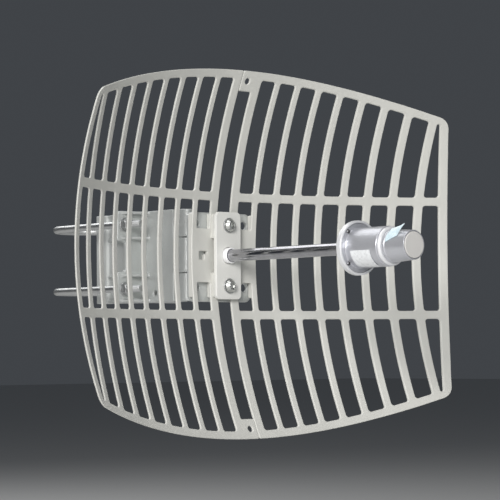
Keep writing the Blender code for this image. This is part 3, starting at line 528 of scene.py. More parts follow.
def boss_outlines():
    """The hub's flat-backed boss: an H of the two inner ribs and the middle between them, and its keyhole."""
    inner, notch_in = rib_sides(0)[0] + BOSS_MARGIN, rib_sides(0)[1] - BOSS_MARGIN
    notch_out, outer = rib_sides(1)[0] + BOSS_MARGIN, rib_sides(1)[1] - BOSS_MARGIN
    step, end, r = HUB_HALF_HEIGHT - BOSS_MARGIN, BOSS_HALF_HEIGHT, 0.0010
    upper = [(outer, end, r), (notch_out, end, r), (notch_out, step, r)]
    upper += [(notch_in, step, r), (notch_in, end, r), (inner, end, r)]
    lower = [(x, -z, r) for x, z, r in reversed(upper)]
    return [rounded(lower + upper, 3), keyhole(BOSS_MARGIN)]


def reflector_half(name, half_turn):
    """The casting of one half, made as a flat plate and bent. The left half is the right one turned round."""
    sign = -1 if half_turn else 1
    loops = [half_outline(), circle((0, TAB_Z), TAB_HOLE_R, 32)]
    for column in range(RIB_COUNT):
        loops += [grid_opening(column, row) for row in (-1, 0, 1) if (column, row) != (0, 0)]
    loops += hub_openings()
    boss_loops = boss_outlines()
    if half_turn:
        loops = [turned_half(loop) for loop in loops]
        boss_loops = [turned_half(loop) for loop in boss_loops]
    grid = plate(loops, GRID_THICKNESS, RIB_EDGE_R, 3, spacing=GRID_SPACING)
    for i in range(-1, BENDS_PER_RIB * (RIB_COUNT + 1)):
        everything = grid.verts[:] + grid.edges[:] + grid.faces[:]
        line = sign * (FIRST_RIB_X + RIB_PITCH * (i + 0.25) / BENDS_PER_RIB)
        bmesh.ops.bisect_plane(grid, geom=everything, dist=1e-6, plane_co=(line, 0, 0), plane_no=(1, 0, 0))
    bmesh.ops.triangulate(grid, faces=[face for face in grid.faces if len(face.verts) > 4])
    for vert in grid.verts:
        vert.co.z += dish_sag(vert.co.x, vert.co.y) - GRID_THICKNESS
    boss = plate(boss_loops, BOSS_BACK, BOSS_EDGE_R, 2, spacing=GRID_SPACING)
    for vert in boss.verts:
        inside_grid = dish_sag(vert.co.x, vert.co.y) - GRID_THICKNESS / 2
        vert.co.z = -BOSS_BACK + (inside_grid + BOSS_BACK) * vert.co.z / BOSS_BACK
    merge(grid, boss)
    xs = sorted((sign * (INNER_RIB_X[0] + BOSS_MARGIN), sign * CLAMP_HALF_WIDTH))
    for side in (-1, 1):
        zs = sorted(side * z for z in PAD_Z)
        outline = rectangle(xs[0], zs[0], xs[1], zs[1], PAD_CORNER_R)
        pad = plate([outline], PAD_FACE_DEPTH - PAD_ROOT_DEPTH, PAD_EDGE_R)
        merge(grid, pad, Matrix.Translation((0, 0, PAD_ROOT_DEPTH)))
    piece(name, grid, "powder_coat", "antenna", [name.replace("_casting", "")], matrix=along_boresight())


reflector_half("reflector_right_casting", False)
reflector_half("reflector_left_casting", True)

# --- clamp and feed tube ------------------------------------------------------------------------------------

CLAMP_DEPTH = PAD_FACE_DEPTH + GAP
CLAMP_THICKNESS = 0.0034
CLAMP_FACE = CLAMP_DEPTH + CLAMP_THICKNESS
CLAMP_CORNER_R, CLAMP_EDGE_R, CLAMP_SPACING = 0.004, 0.0007, 0.006
CLAMP_BORE_R = 0.0068
CLAMP_SCREW_Z = 0.0250
CLAMP_WASHER_R, CLAMP_WASHER_THICKNESS, CLAMP_SCREW_REACH = 0.0061, 0.0012, 0.0135
BUSH_BACK, BUSH_FRONT = 0.0022, 0.0118
BUSH_NOSE_R, BUSH_R, BUSH_COLLAR_R = 0.0060, 0.0065, 0.0071
M6_R, M6_HOLE_R = 0.0030, 0.0034
TUBE_R, TUBE_BORE_R = 0.0050, 0.0036
TUBE_BACK, TUBE_FRONT = -0.0160, 0.1760


def washer(name, inner, outer, thickness, matrix, body, node):
    edge = 0.0003
    corners = [(inner, 0), (inner, thickness), (outer, thickness), (outer, 0)]
    profile = rounded([(*corner, edge) for corner in corners], 3)
    piece(name, revolve(profile, closed=True), "zinc", body, [node], matrix=matrix)


def socket_screw(head_r, head, socket, socket_depth, shank_r, shank_end, dome):
    """A socket screw about its own Z, with the underside of its head at z = 0 and its shank below.

    Socket is the width across the hexagon's flats, and dome is the radius of the head's rounded edge.
    """
    hexa = hexagon_radius(socket)
    floor = head - socket_depth
    mouth = socket / 2 * 1.2
    crown = [(mouth + 0.0003, head, 0), (head_r * 0.62, head, dome), (head_r, dome * 0.4, dome)]
    outer = rounded(crown + [(head_r, 0, 0.0002), (shank_r, 0, 0)], 6, closed=False)
    profile = [(0, floor - 0.0005), (socket / 2, floor, hexa), (socket / 2, head - 0.0004, hexa)]
    profile += [(mouth, head - 0.00005)] + outer
    profile += [(shank_r, shank_end + 0.0005), (shank_r - 0.0005, shank_end), (0, shank_end)]
    return revolve(profile, 72)


def hex_nut(across_flats, height, hole_r):
    """A nut about its own Z from z = 0 up, with turned chamfers."""
    hexa = hexagon_radius(across_flats)
    seat = across_flats / 2 * 0.96
    slope = math.tan(math.radians(60))
    reach = (across_flats / math.sqrt(3) - seat) / slope
    rises = [reach * i / 4 for i in range(5)]

    def at(rise):
        return lambda angle: min(hexa(angle), seat + rise * slope)

    outside = [(seat, z, at(z)) for z in rises] + [(seat, height - z, at(z)) for z in reversed(rises)]
    cut = 0.0005
    inside = [(hole_r + cut, height), (hole_r, height - cut), (hole_r, cut), (hole_r + cut, 0)]
    return revolve(outside + inside, 72, closed=True)


w, h = CLAMP_HALF_WIDTH, CLAMP_HALF_HEIGHT
clamp_screw_holes = [circle((0, side * CLAMP_SCREW_Z), M6_HOLE_R) for side in (-1, 1)]
clamp_loops = [rectangle(-w, -h, w, h, CLAMP_CORNER_R, 6)]
clamp_loops += clamp_screw_holes + [circle((0, 0), CLAMP_BORE_R)]
clamp = plate(clamp_loops, CLAMP_THICKNESS, CLAMP_EDGE_R, 4, spacing=CLAMP_SPACING)
piece("clamp_plate_casting", clamp, "clamp_coat", "antenna", ["clamp_plate"],
      along_boresight(CLAMP_DEPTH))
head_depth = CLAMP_FACE + CLAMP_WASHER_THICKNESS + 2 * GAP
for row, side, turn in (("upper", 1, 12), ("lower", -1, 41)):
    z = side * CLAMP_SCREW_Z
    washer(f"clamp_washer_{row}_turned", M6_HOLE_R, CLAMP_WASHER_R, CLAMP_WASHER_THICKNESS,
           along_boresight(CLAMP_FACE + GAP, z=z), "antenna", f"clamp_washer_{row}")
    screw = socket_screw(head_r=0.00525, head=0.0033, socket=0.0043, socket_depth=0.0022, shank_r=M6_R,
                         shank_end=-(head_depth + CLAMP_SCREW_REACH), dome=0.0020)
    piece(f"clamp_screw_{row}_button", screw, "screw_zinc", "antenna", [f"clamp_screw_{row}"],
          along_boresight(head_depth, z=z, turn=turn))

bore = TUBE_R + GAP
collar_front = CLAMP_DEPTH - 2 * GAP
bush = [(bore, BUSH_BACK, 0.0001), (bore, BUSH_FRONT, 0.0003), (BUSH_NOSE_R, BUSH_FRONT, 0.0003),
        (BUSH_R, BUSH_FRONT - 0.0005, 0.0003), (BUSH_R, collar_front, 0.0001),
        (BUSH_COLLAR_R, collar_front, 0.0001), (BUSH_COLLAR_R, BUSH_BACK, 0.0001)]
piece("tube_bush_moulding", revolve(rounded(bush, 3), closed=True), "white_plastic", "antenna", ["tube_bush"],
      matrix=along_boresight())

tube = [(TUBE_BORE_R, TUBE_BACK, 0.0002), (TUBE_BORE_R, TUBE_FRONT, 0.0002),
        (TUBE_R, TUBE_FRONT, 0.0003), (TUBE_R, TUBE_BACK, 0.0003)]
piece("feed_tube_drawn", revolve(rounded(tube, 3), 96, closed=True), "chrome", "antenna", ["feed_tube"],
      matrix=along_boresight())

BASE_FRONT = -(BOSS_BACK + GAP)
BASE_THICKNESS = 0.0034
BASE_HALF_WIDTH, BASE_Z = 0.0335, (-0.0380, 0.0358)
LOCKNUT_ACROSS_FLATS, LOCKNUT_HEIGHT = 0.0150, 0.0040
locknut = hex_nut(LOCKNUT_ACROSS_FLATS, LOCKNUT_HEIGHT, TUBE_R + GAP)
piece("tube_locknut_hex", locknut, "zinc", "antenna", ["tube_locknut"],
      matrix=along_boresight(BASE_FRONT - BASE_THICKNESS - GAP - LOCKNUT_HEIGHT))

GLAND_BORE_R, GLAND_R, GLAND_SPIGOT_R = 0.0032, 0.0064, 0.0050
GLAND_HEAD, GLAND_LENGTH, GLAND_NUT_END = 0.0030, 0.0065, 0.0105
GLAND_NUT_R, GLAND_NUT_BORE_R, GLAND_NUT_INNER_R = 0.0068, 0.0026, 0.0053
gland_top = TUBE_BACK - GAP
gland_head, gland_end = gland_top - GLAND_HEAD, gland_top - GLAND_LENGTH
gland = [(GLAND_BORE_R, gland_top), (GLAND_R - 0.0004, gland_top), (GLAND_R, gland_top - 0.0004),
         (GLAND_R, gland_head), (GLAND_SPIGOT_R, gland_head), (GLAND_SPIGOT_R, gland_end),
         (GLAND_BORE_R, gland_end)]
piece("gland_body_turned", revolve(gland, closed=True), "brass", "antenna", ["gland_body"],
      matrix=along_boresight())


def knurled(radius, depth, count):
    """A function that gives the radius of a grip with that many grooves from the angle."""
    return lambda angle: radius - depth * (0.5 - 0.5 * math.cos(count * angle)) ** 0.7


nut_top, nut_end, nut_step = gland_head - GAP, gland_top - GLAND_NUT_END, gland_end - GAP
grip = knurled(GLAND_NUT_R, 0.00035, 24)
gland_nut = [(GLAND_NUT_INNER_R, nut_top), (0.0064, nut_top), (GLAND_NUT_R, nut_top - 0.0005, grip),
             (GLAND_NUT_R, nut_end + 0.0022, grip), (0.0062, nut_end + 0.0014), (0.0054, nut_end + 0.0003),
             (0.0050, nut_end), (GLAND_NUT_BORE_R, nut_end), (GLAND_NUT_BORE_R, nut_end + 0.0015),
             (GLAND_NUT_INNER_R, nut_step - 0.0010)]
piece("gland_nut_knurled", revolve(gland_nut, 144, closed=True), "black_plastic", "antenna", ["gland_nut"],
      matrix=along_boresight())

# --- feed head ----------------------------------------------------------------------------------------------

FLANGE_R, FLANGE_RIM_R = 0.02125, 0.0193
FLANGE_BACK, FLANGE_FLOOR, FLANGE_RIM_TOP = 0.1580, 0.1610, 0.1630
CAN_R, CAN_FRONT, CAN_WALL, CAN_NECK = 0.0155, 0.1960, 0.0016, 0.0100
FOOT_THICKNESS = 0.0012
FOOT_R = FLANGE_RIM_R - GAP
FEED_SCREW_R, FEED_SCREW_PCD_R, FEED_SCREW_END = 0.0011, 0.0174, 0.1596
STEP_R, STEP_FRONT = 0.0150, 0.1990
FRONT_CAN_R, FRONT_CAN_TIP_R, FRONT_CAN_TIP, FRONT_CAN_WALL = 0.0130, 0.0113, 0.2210, 0.0009
FRONT_COLLAR = 0.0022
DISC_BACK, DISC_PROUD = 0.0014, 0.0006
HOUSING_LABEL, FRONT_LABEL = (0.168, 0.189), (0.2025, 0.2130)
LABEL_LIFT, LABEL_THICKNESS = 0.00015, 0.00018


def feed_turning(name, node, profile, material="silver_paint"):
    """A turned piece of the feed head, from a closed (radius, depth, corner radius) profile."""
    bm = revolve(rounded(profile), 128, closed=True)
    piece(name, bm, material, "antenna", [node], along_boresight())


# The flange wears the lighter copy of the silver paint, a painted highlight.
feed_turning("feed_flange_turned", "feed_flange", [
    (bore, FLANGE_BACK, 0.0004), (FLANGE_R, FLANGE_BACK, 0.0010), (FLANGE_R, FLANGE_RIM_TOP, 0.0008),
    (FLANGE_RIM_R, FLANGE_RIM_TOP, 0.0005), (FLANGE_RIM_R, FLANGE_FLOOR, 0.0003),
    (bore, FLANGE_FLOOR, 0.0004),
], "silver_paint_lit_copy")

foot = FLANGE_FLOOR + GAP
foot_top = foot + FOOT_THICKNESS
can_inner, can_roof = CAN_R - CAN_WALL, CAN_FRONT - CAN_WALL
feed_turning("feed_housing_spun", "feed_housing", [
    (CAN_NECK, CAN_FRONT, 0.0002), (CAN_NECK, can_roof, 0.0002), (can_inner, can_roof, 0.0005),
    (can_inner, foot, 0.0003), (FOOT_R, foot, 0.0002), (FOOT_R, foot_top, 0.0003),
    (CAN_R, foot_top, 0.0008), (CAN_R, CAN_FRONT, 0.0009),
])

head_low = foot_top + GAP
for i in range(4):
    angle = math.radians(45 + 90 * i)
    x, z = FEED_SCREW_PCD_R * math.cos(angle), FEED_SCREW_PCD_R * math.sin(angle)
    screw = socket_screw(head_r=0.0016, head=0.0009, socket=0.0013, socket_depth=0.0006, shank_r=FEED_SCREW_R,
                         shank_end=FEED_SCREW_END - head_low, dome=0.0005)
    piece(f"flange_screw_{i + 1}_cap", screw, "dark_steel", "antenna", [f"flange_screw_{i + 1}"],
          matrix=along_boresight(head_low, x, z, 17 * i))

low = CAN_FRONT + GAP
# The step ring wears the same lighter copy of the silver paint, a painted highlight.
feed_turning("step_ring_turned", "step_ring", [
    (CAN_NECK, low, 0.0002), (CAN_NECK, STEP_FRONT, 0.0002), (STEP_R - 0.0012, STEP_FRONT, 0.0004),
    (STEP_R, STEP_FRONT - 0.0010, 0.0007), (STEP_R, low, 0.0004),
], "silver_paint_lit_copy")

low = STEP_FRONT + GAP
collar = low + FRONT_COLLAR
taper_r, taper_start = FRONT_CAN_R - 0.00045, collar + 0.0003
tip_bore = FRONT_CAN_TIP_R - FRONT_CAN_WALL
feed_turning("front_housing_spun", "front_housing", [
    (CAN_NECK, low + FRONT_CAN_WALL, 0.0002), (CAN_NECK, low, 0.0002), (FRONT_CAN_R, low, 0.0004),
    (FRONT_CAN_R, collar, 0.0006), (taper_r, taper_start, 0.0008),
    (FRONT_CAN_TIP_R, FRONT_CAN_TIP, 0.0004), (tip_bore, FRONT_CAN_TIP, 0.0001),
    (tip_bore, low + FRONT_CAN_WALL, 0.0003),
])

disc_r, disc_back, disc_face = tip_bore - GAP, FRONT_CAN_TIP - DISC_BACK, FRONT_CAN_TIP + DISC_PROUD
disc = [(0, disc_back, 0), (disc_r, disc_back, 0.0002), (disc_r, disc_face, 0.0005), (0, disc_face, 0)]
disc = revolve(rounded(disc, 4, closed=False), 128)
piece("end_disc_moulding", disc, "pale_plastic", "antenna", ["end_disc"], matrix=along_boresight())


def sticker(name, node, material, radii, angles_deg, depths, lift, crinkle, seed, slant=0.0, lean=0.25):
    """A thin label around a can, between two angles and two depths, with the can's radius at each depth.

    Its last corner curls away by lift, and leans forward by lean times that. Crinkle is the height of its
    creases, and slant moves the front end of its first edge, in degrees.
    """
    across, along = 36, 20
    bm = bmesh.new()
    layers = []
    for layer in (0.0, LABEL_THICKNESS):
        rows = []
        for i in range(across + 1):
            t = i / across
            row = []
            for j in range(along + 1):
                s = j / along
                angle = angles_deg[0] + (angles_deg[1] - angles_deg[0]) * t + slant * s * (1 - t)
                angle = math.radians(angle)
                peel = max(0.0, t + 0.55 * s - 0.72) / 0.83  # 0 where it sticks, 1 at the last corner
                wave = noise.fractal(Vector((t * 5 + seed, s * 4, seed)), 0.6, 2.0, 3)
                r = radii[0] + (radii[1] - radii[0]) * s + LABEL_LIFT + layer
                r += lift * peel ** 1.7 + crinkle * (0.5 + 0.5 * wave)
                depth = depths[0] + (depths[1] - depths[0]) * s + lean * lift * peel ** 2
                row.append(bm.verts.new((r * math.cos(angle), r * math.sin(angle), depth)))
            rows.append(row)
        layers.append(rows)
    for rows in layers:
        for i in range(across):
            for j in range(along):
                bm.faces.new([rows[i][j], rows[i + 1][j], rows[i + 1][j + 1], rows[i][j + 1]])
    rims = [rows[0] + [row[-1] for row in rows[1:-1]] + rows[-1][::-1] + [row[0] for row in rows[-2:0:-1]]
            for rows in layers]
    bridge(bm, *rims)
    piece(name, bm, material, "antenna", [node], along_boresight(), sharp=60)


sticker("housing_label_film", "housing_label", "label", (CAN_R, CAN_R), (190, 250), HOUSING_LABEL,
        lift=0.0004, crinkle=0.00025, seed=3.1)
taper = (FRONT_CAN_TIP_R - taper_r) / (FRONT_CAN_TIP - taper_start)
front_radii = [taper_r + taper * (depth - taper_start) for depth in FRONT_LABEL]
sticker("front_label_film", "front_label", "blue_label", front_radii, (170, 110), FRONT_LABEL,
        lift=0.0048, crinkle=0.00045, seed=7.7, slant=-24, lean=0.9)

# --- brackets -----------------------------------------------------------------------------------------------

BRACKET_RISE = 0.0025
HINGE_Y = VERTEX_Y + 0.045
KNUCKLE_R, KNUCKLE_SPLIT, KNUCKLE_END = 0.0080, 0.0150, 0.0387
HEAD_RECESS_R, HEAD_RECESS = 0.0054, 0.0064
NUT_RECESS_R, NUT_RECESS = 0.0062, 0.0054
SPINE_HALF_WIDTH, SPINE_WALL = 0.0080, 0.0030
BRACKET_FLANGE_Y = VERTEX_Y + 0.097
BRACKET_FLANGE_THICKNESS = 0.0040
BRACKET_HALF_WIDTH, BRACKET_HALF_HEIGHT = 0.0345, 0.0392
GUSSET_LEVELS, GUSSET_THICKNESS = (-0.0375, -0.0160, 0.0160, 0.0375), 0.0025
ARM_HALF_WIDTH, ARM_END = 0.0050, 0.0330
SADDLE_HALF_WIDTH, MAST_R = 0.0065, 0.0225
U_BEND_R, U_BOLT_Z = 0.0270, 0.0275
U_LEG_END_Y = VERTEX_Y + 0.074
NUT_HEIGHT, NUT_ACROSS_FLATS, WASHER_R, WASHER_THICKNESS = 0.0050, 0.0100, 0.0060, 0.0016
HINGE_NUT_HEIGHT = 0.0046
HINGE_AXIS = Matrix.Translation((0, HINGE_Y, BRACKET_RISE))
BASE_CORNER_R, BASE_EDGE_R, SPARE_HOLE = 0.006, 0.0005, 0.026
MAST_PLATE_EDGE_R = 0.0004
SUNK = 0.0004  # how far one shell of a casting stays inside the face of another
BORE_WALL = 0.0012  # from the hinge pin's bore to the blocks beside it
SIDE_HOLE_Y, SIDE_HOLE_Z, SIDE_HOLE_R = VERTEX_Y + 0.080, BRACKET_RISE - 0.0310, 0.0024


def block(low, high):
    """A box between two corners, as the bmesh and matrix that merge needs."""
    outline = rectangle(low[0], low[1], high[0], high[1], 0.0004, 2)
    return plate([outline], high[2] - low[2], 0.0003, 2), Matrix.Translation((0, 0, low[2]))


hub_loops = [rectangle(-BASE_HALF_WIDTH, BASE_Z[0], BASE_HALF_WIDTH, BASE_Z[1], BASE_CORNER_R, 6)]
hub_loops += [circle((0, 0), bore)]
hub_loops += [circle((x, z), M6_HOLE_R) for x in (-SPARE_HOLE, SPARE_HOLE) for z in (-SPARE_HOLE, SPARE_HOLE)]
hub = plate(hub_loops + clamp_screw_holes, BASE_THICKNESS, BASE_EDGE_R)
hub.transform(along_boresight(BASE_FRONT - BASE_THICKNESS))
pin_bore = M6_R + GAP
for side, recess_r, recess in ((1, HEAD_RECESS_R, HEAD_RECESS), (-1, NUT_RECESS_R, NUT_RECESS)):
    near, far = side * (KNUCKLE_SPLIT + GAP), side * KNUCKLE_END
    shelf = far - side * recess
    barrel = [(pin_bore, near), (KNUCKLE_R, near), (KNUCKLE_R, far)]
    barrel += [(recess_r, far), (recess_r, shelf), (pin_bore, shelf)]
    merge(hub, revolve(barrel, closed=True), HINGE_AXIS)
    arm_low, arm_high = sorted((near + side * SUNK, side * ARM_END))
    merge(hub, *block((-ARM_HALF_WIDTH, VERTEX_Y - BASE_FRONT + 0.0010, BRACKET_RISE + arm_low),
                      (ARM_HALF_WIDTH, HINGE_Y - pin_bore - BORE_WALL, BRACKET_RISE + arm_high)))
cast("hub_bracket_casting", hub, "cast_metal", "antenna", ["hub_bracket"])


def mast_bracket():
    """One casting of the middle knuckle, a square spine, the U-bolts' flange, the saddle and the gussets."""
    low = BRACKET_RISE - BRACKET_HALF_HEIGHT
    tall = 2 * BRACKET_HALF_HEIGHT
    w = SPINE_HALF_WIDTH
    front = HINGE_Y + KNUCKLE_R + 0.002
    back = BRACKET_FLANGE_Y + 0.001
    bm = bmesh.new()
    for y0, y1 in ((front, front + SPINE_WALL), (back - SPINE_WALL, back)):
        merge(bm, *block((-w, y0, low + 0.0002), (w, y1, low + tall - 0.0002)))
    hole = circle((SIDE_HOLE_Y, SIDE_HOLE_Z), SIDE_HOLE_R, 32)
    wall = [rectangle(front, low + 0.0002, back, low + tall - 0.0002, 0.0004), hole]
    for x in (-w, w - SPINE_WALL):
        sideways = Matrix(((0, 0, 1, x), (1, 0, 0, 0), (0, 1, 0, 0), (0, 0, 0, 1)))
        merge(bm, plate(wall, SPINE_WALL, MAST_PLATE_EDGE_R), sideways)
    split = KNUCKLE_SPLIT - GAP
    barrel = [(pin_bore, -split), (KNUCKLE_R, -split), (KNUCKLE_R, split), (pin_bore, split)]
    merge(bm, revolve(barrel, closed=True), HINGE_AXIS)
    neck = split - SUNK
    for x0, x1 in ((-w + SUNK, -pin_bore - 0.001), (pin_bore + 0.001, w - SUNK)):
        merge(bm, *block((x0, HINGE_Y, BRACKET_RISE - neck), (x1, front + 0.001, BRACKET_RISE + neck)))
    merge(bm, *block((-w + SUNK, HINGE_Y + pin_bore + BORE_WALL, BRACKET_RISE - neck),
                     (w - SUNK, front + 0.001, BRACKET_RISE + neck)))

    edge, notch_x, notch_z, mouth_z = BRACKET_HALF_WIDTH, 0.0255, 0.0122, 0.0135
    right = [(edge, -BRACKET_HALF_HEIGHT, 0.004), (edge, -mouth_z, 0.001), (notch_x, -notch_z, 0.002),
             (notch_x, notch_z, 0.002), (edge, mouth_z, 0.001), (edge, BRACKET_HALF_HEIGHT, 0.004)]
    flange = [rounded(right + [(-x, z, r) for x, z, r in reversed(right)])]
    legs = [(x, z) for x in (-U_BEND_R, U_BEND_R) for z in (-U_BOLT_Z, U_BOLT_Z)]
    flange += [circle(leg, M6_HOLE_R + 0.0001) for leg in legs]
    back_face = BRACKET_FLANGE_Y + BRACKET_FLANGE_THICKNESS
    merge(bm, plate(flange, BRACKET_FLANGE_THICKNESS, MAST_PLATE_EDGE_R),
          along_boresight(VERTEX_Y - back_face, z=BRACKET_RISE))

    stem_x, stem_end, shoulder_y = 0.0030, -0.0370, -0.0340
    touch_x = 0.0040  # where the saddle's two slopes touch the mast
    grade = math.tan(math.asin(touch_x / MAST_R))
    touch_y = -math.sqrt(MAST_R ** 2 - touch_x ** 2)
    tip_y = touch_y + (SADDLE_HALF_WIDTH - touch_x) * grade
    profile = [(stem_x, BRACKET_FLANGE_Y + 0.002), (stem_x, stem_end)]
    profile += [(SADDLE_HALF_WIDTH - 0.0015, shoulder_y), (SADDLE_HALF_WIDTH, tip_y)]
    outline = profile + [(0, touch_y - touch_x * grade)] + [(-x, y) for x, y in reversed(profile)]
    merge(bm, plate([outline], tall - 0.0010, 0.0002, 2), Matrix.Translation((0, 0, low + 0.0005)))

    reach, waist_x, end_x, root_x, end_y = BRACKET_HALF_WIDTH - 0.0005, 0.0200, 0.0035, 0.0015, -0.0360
    rib = [(w - 0.002, BRACKET_FLANGE_Y - 0.011), (reach, BRACKET_FLANGE_Y + 0.0005),
           (reach, back_face - 0.0005), (waist_x, back_face + 0.006), (end_x, end_y), (root_x, end_y),
           (root_x, back_face - 0.001), (w - 0.002, back_face - 0.001)]
    for level in GUSSET_LEVELS:
        lift = Matrix.Translation((0, 0, BRACKET_RISE + level - GUSSET_THICKNESS / 2))
        for side in (-1, 1):
            gusset = plate([[(side * x, y) for x, y in rib]], GUSSET_THICKNESS, MAST_PLATE_EDGE_R)
            merge(bm, gusset, lift)
    cast("mast_bracket_casting", bm, "cast_metal", "mast_mount", ["mast_bracket"])


mast_bracket()

top = BRACKET_RISE + KNUCKLE_END - HEAD_RECESS + GAP
bottom = BRACKET_RISE - KNUCKLE_END + 0.0004
bolt = socket_screw(head_r=0.0050, head=0.0058, socket=0.0050, socket_depth=0.0030, shank_r=M6_R,
                    shank_end=bottom - top, dome=0.0006)
piece("hinge_bolt_cap", bolt, "zinc", "mast_mount", ["hinge_bolt"],
      matrix=Matrix.Translation((0, HINGE_Y, top)))
nut = hex_nut(NUT_ACROSS_FLATS, HINGE_NUT_HEIGHT, M6_R + GAP)
piece("hinge_nut_hex", nut, "zinc", "mast_mount", ["hinge_nut"],
      matrix=Matrix.Translation((0, HINGE_Y, bottom)))


def u_bolt(name, z, body, node):
    """A round rod bent half a turn, with rolled threads on its two legs."""
    pitch, thread_depth, thread_length, sides = 0.0010, 0.00038, 0.0240, 24
    steps_per_turn, plain_steps, bend_steps = 7, 6, 48
    leg = abs(U_LEG_END_Y)
    thread_steps = int(thread_length / pitch * steps_per_turn)
    threaded = [i * thread_length / thread_steps for i in range(thread_steps + 1)]
    plain = [thread_length + (leg - thread_length) * i / plain_steps for i in range(1, plain_steps)]
    bm = bmesh.new()
    stations = [("left", s) for s in threaded + plain]
    stations += [("bend", 180 - 180 * i / bend_steps) for i in range(bend_steps + 1)]
    stations += [("right", s) for s in reversed(threaded + plain)]
    rings = []
    for kind, s in stations:
        if kind == "bend":
            out = Vector((math.cos(math.radians(s)), math.sin(math.radians(s)), 0))
            centre = out * U_BEND_R
        else:
            sign = -1 if kind == "left" else 1
            out = Vector((sign, 0, 0))
            centre = Vector((sign * U_BEND_R, -leg + s, 0))
        ring = []
        for k in range(sides):
            phi = 2 * math.pi * k / sides
            r = M6_R
            if kind != "bend" and s < thread_length:
                phase = (s / pitch - k / sides) % 1.0
                run_out = min(1.0, (thread_length - s) / 0.0015, s / 0.0004 + 0.3)
                chamfer = 0.0005 * max(0.0, 1 - s / 0.0006)
                r -= thread_depth * (1 - abs(2 * phase - 1)) * run_out + chamfer
            ring.append(bm.verts.new(centre + out * r * math.cos(phi) + Vector((0, 0, r * math.sin(phi)))))
        rings.append(ring)
    for first, second in zip(rings, rings[1:]):
        bridge(bm, first, second)
    bm.faces.new(rings[0])
    bm.faces.new(rings[-1])
    piece(name, bm, "zinc", body, [node], matrix=Matrix.Translation((0, 0, z)), sharp=60)


washer_depth = VERTEX_Y - BRACKET_FLANGE_Y + GAP
nut_depth = washer_depth + WASHER_THICKNESS + GAP
for row, side_z in (("upper", 1), ("lower", -1)):
    z = BRACKET_RISE + side_z * U_BOLT_Z
    u_bolt(f"u_bolt_{row}_rod", z, f"{row}_u_bolt", f"u_bolt_{row}")
    for hand, side_x in (("left", -1), ("right", 1)):
        x = side_x * U_BEND_R
        washer(f"u_washer_{row}_{hand}_turned", M6_HOLE_R, WASHER_R, WASHER_THICKNESS,
               along_boresight(washer_depth, x, z), "mast_mount", f"u_washer_{row}_{hand}")
        nut = hex_nut(NUT_ACROSS_FLATS, NUT_HEIGHT, M6_R + 0.0001)
        piece(f"u_nut_{row}_{hand}_hex", nut, "zinc", "mast_mount", [f"u_nut_{row}_{hand}"],
              matrix=along_boresight(nut_depth, x, z))

# --- carried-over CAD nodes ---------------------------------------------------------------------------------

CARRIED = {
    "coax_dielectric": "white_plastic", "coax_inner": "brass", "gland_seal": "rubber",
    "sub_reflector": "zinc", "dipole_element": "brass",
}
for node, material in CARRIED.items():
    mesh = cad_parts[node].data
    mesh.materials.clear()
    mesh.materials.append(MATERIALS[material])

# --- camera, floor and light --------------------------------------------------------------------------------

CAMERA_AZIMUTH, CAMERA_ELEVATION, CAMERA_ROLL = -41.25, -2.68, -0.466
CAMERA_DISTANCE, CAMERA_RIGHT, CAMERA_UP = 1.7907, 0.0226, 0.0048
LENS, SENSOR_WIDTH = 155.88, 36

azimuth, elevation = math.radians(CAMERA_AZIMUTH), math.radians(CAMERA_ELEVATION)
level = math.cos(elevation)
back = Vector((math.sin(azimuth) * level, -math.cos(azimuth) * level, math.sin(elevation)))
right = Vector((math.cos(azimuth), math.sin(azimuth), 0))
up = back.cross(right)
roll = math.radians(CAMERA_ROLL)
cam_x = right * math.cos(roll) + up * math.sin(roll)
cam_y = -right * math.sin(roll) + up * math.cos(roll)
place = Vector((0, VERTEX_Y, 0)) + back * CAMERA_DISTANCE + right * CAMERA_RIGHT + up * CAMERA_UP
camera = bpy.data.objects.new("camera", bpy.data.cameras.new("camera"))
camera.data.lens = LENS
camera.data.sensor_width = SENSOR_WIDTH
axes = Matrix((cam_x, cam_y, back)).transposed()
camera.matrix_world = Matrix.Translation(place) @ axes.to_4x4()
bpy.context.scene.collection.objects.link(camera)
bpy.context.scene.camera = camera

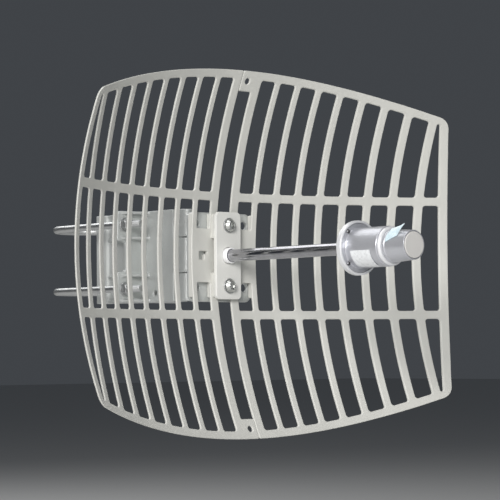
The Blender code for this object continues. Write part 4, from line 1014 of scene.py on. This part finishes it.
FLOOR_Z, FLOOR_SIZE, FLOOR_COLOUR = -0.32, 12, (0.72, 0.72, 0.71, 1)
floor_mesh = bmesh.new()
bmesh.ops.create_grid(floor_mesh, x_segments=1, y_segments=1, size=FLOOR_SIZE)
mesh = bpy.data.meshes.new("floor")
floor_mesh.to_mesh(mesh)
floor_mesh.free()
floor = bpy.data.objects.new("floor", mesh)
floor.location = (0, 0, FLOOR_Z)
floor_look = NodeMaker("floor")
floor_look.shader.inputs["Base Color"].default_value = FLOOR_COLOUR
floor_look.shader.inputs["Roughness"].default_value = 0.9
floor_look.shader.inputs["Specular IOR Level"].default_value = 0.05
mesh.materials.append(floor_look.material)
bpy.context.scene.collection.objects.link(floor)

CENTRE = Vector((0, -0.2, 0))
WORLD_COLOUR = (0.052, 0.057, 0.064, 1)


def area_light(name, direction, distance, size, power, colour=(1, 1, 1)):
    """A rectangular light that faces the middle of the antenna from a direction."""
    data = bpy.data.lights.new(name, "AREA")
    data.shape = "RECTANGLE"
    data.size, data.size_y = size
    data.energy = power
    data.color = colour
    lamp = bpy.data.objects.new(name, data)
    direction = direction.normalized()
    lamp.location = CENTRE + direction * distance
    lamp.rotation_euler = direction.to_track_quat("Z", "Y").to_euler()
    bpy.context.scene.collection.objects.link(lamp)


area_light("key", back - right * 0.20 + up * 0.35, distance=1.9, size=(0.6, 0.7), power=34,
           colour=(1.0, 0.985, 0.97))
area_light("fill", back * 0.5 + right * 0.9 + up * 0.2, distance=2.2, size=(1.2, 1.6), power=3,
           colour=(0.95, 0.98, 1.0))
area_light("top", Vector((-0.3, -0.1, 1)), distance=1.6, size=(1.2, 0.9), power=9)
area_light("rear", Vector((0.1, 0.9, 0.75)), distance=2.0, size=(1.3, 1.0), power=11)

world = bpy.data.worlds.new("studio")
world.use_nodes = True
world.node_tree.nodes["Background"].inputs["Color"].default_value = WORLD_COLOUR
world.node_tree.nodes["Background"].inputs["Strength"].default_value = 1.0
bpy.context.scene.world = world
bpy.context.scene.view_settings.view_transform = "Standard"
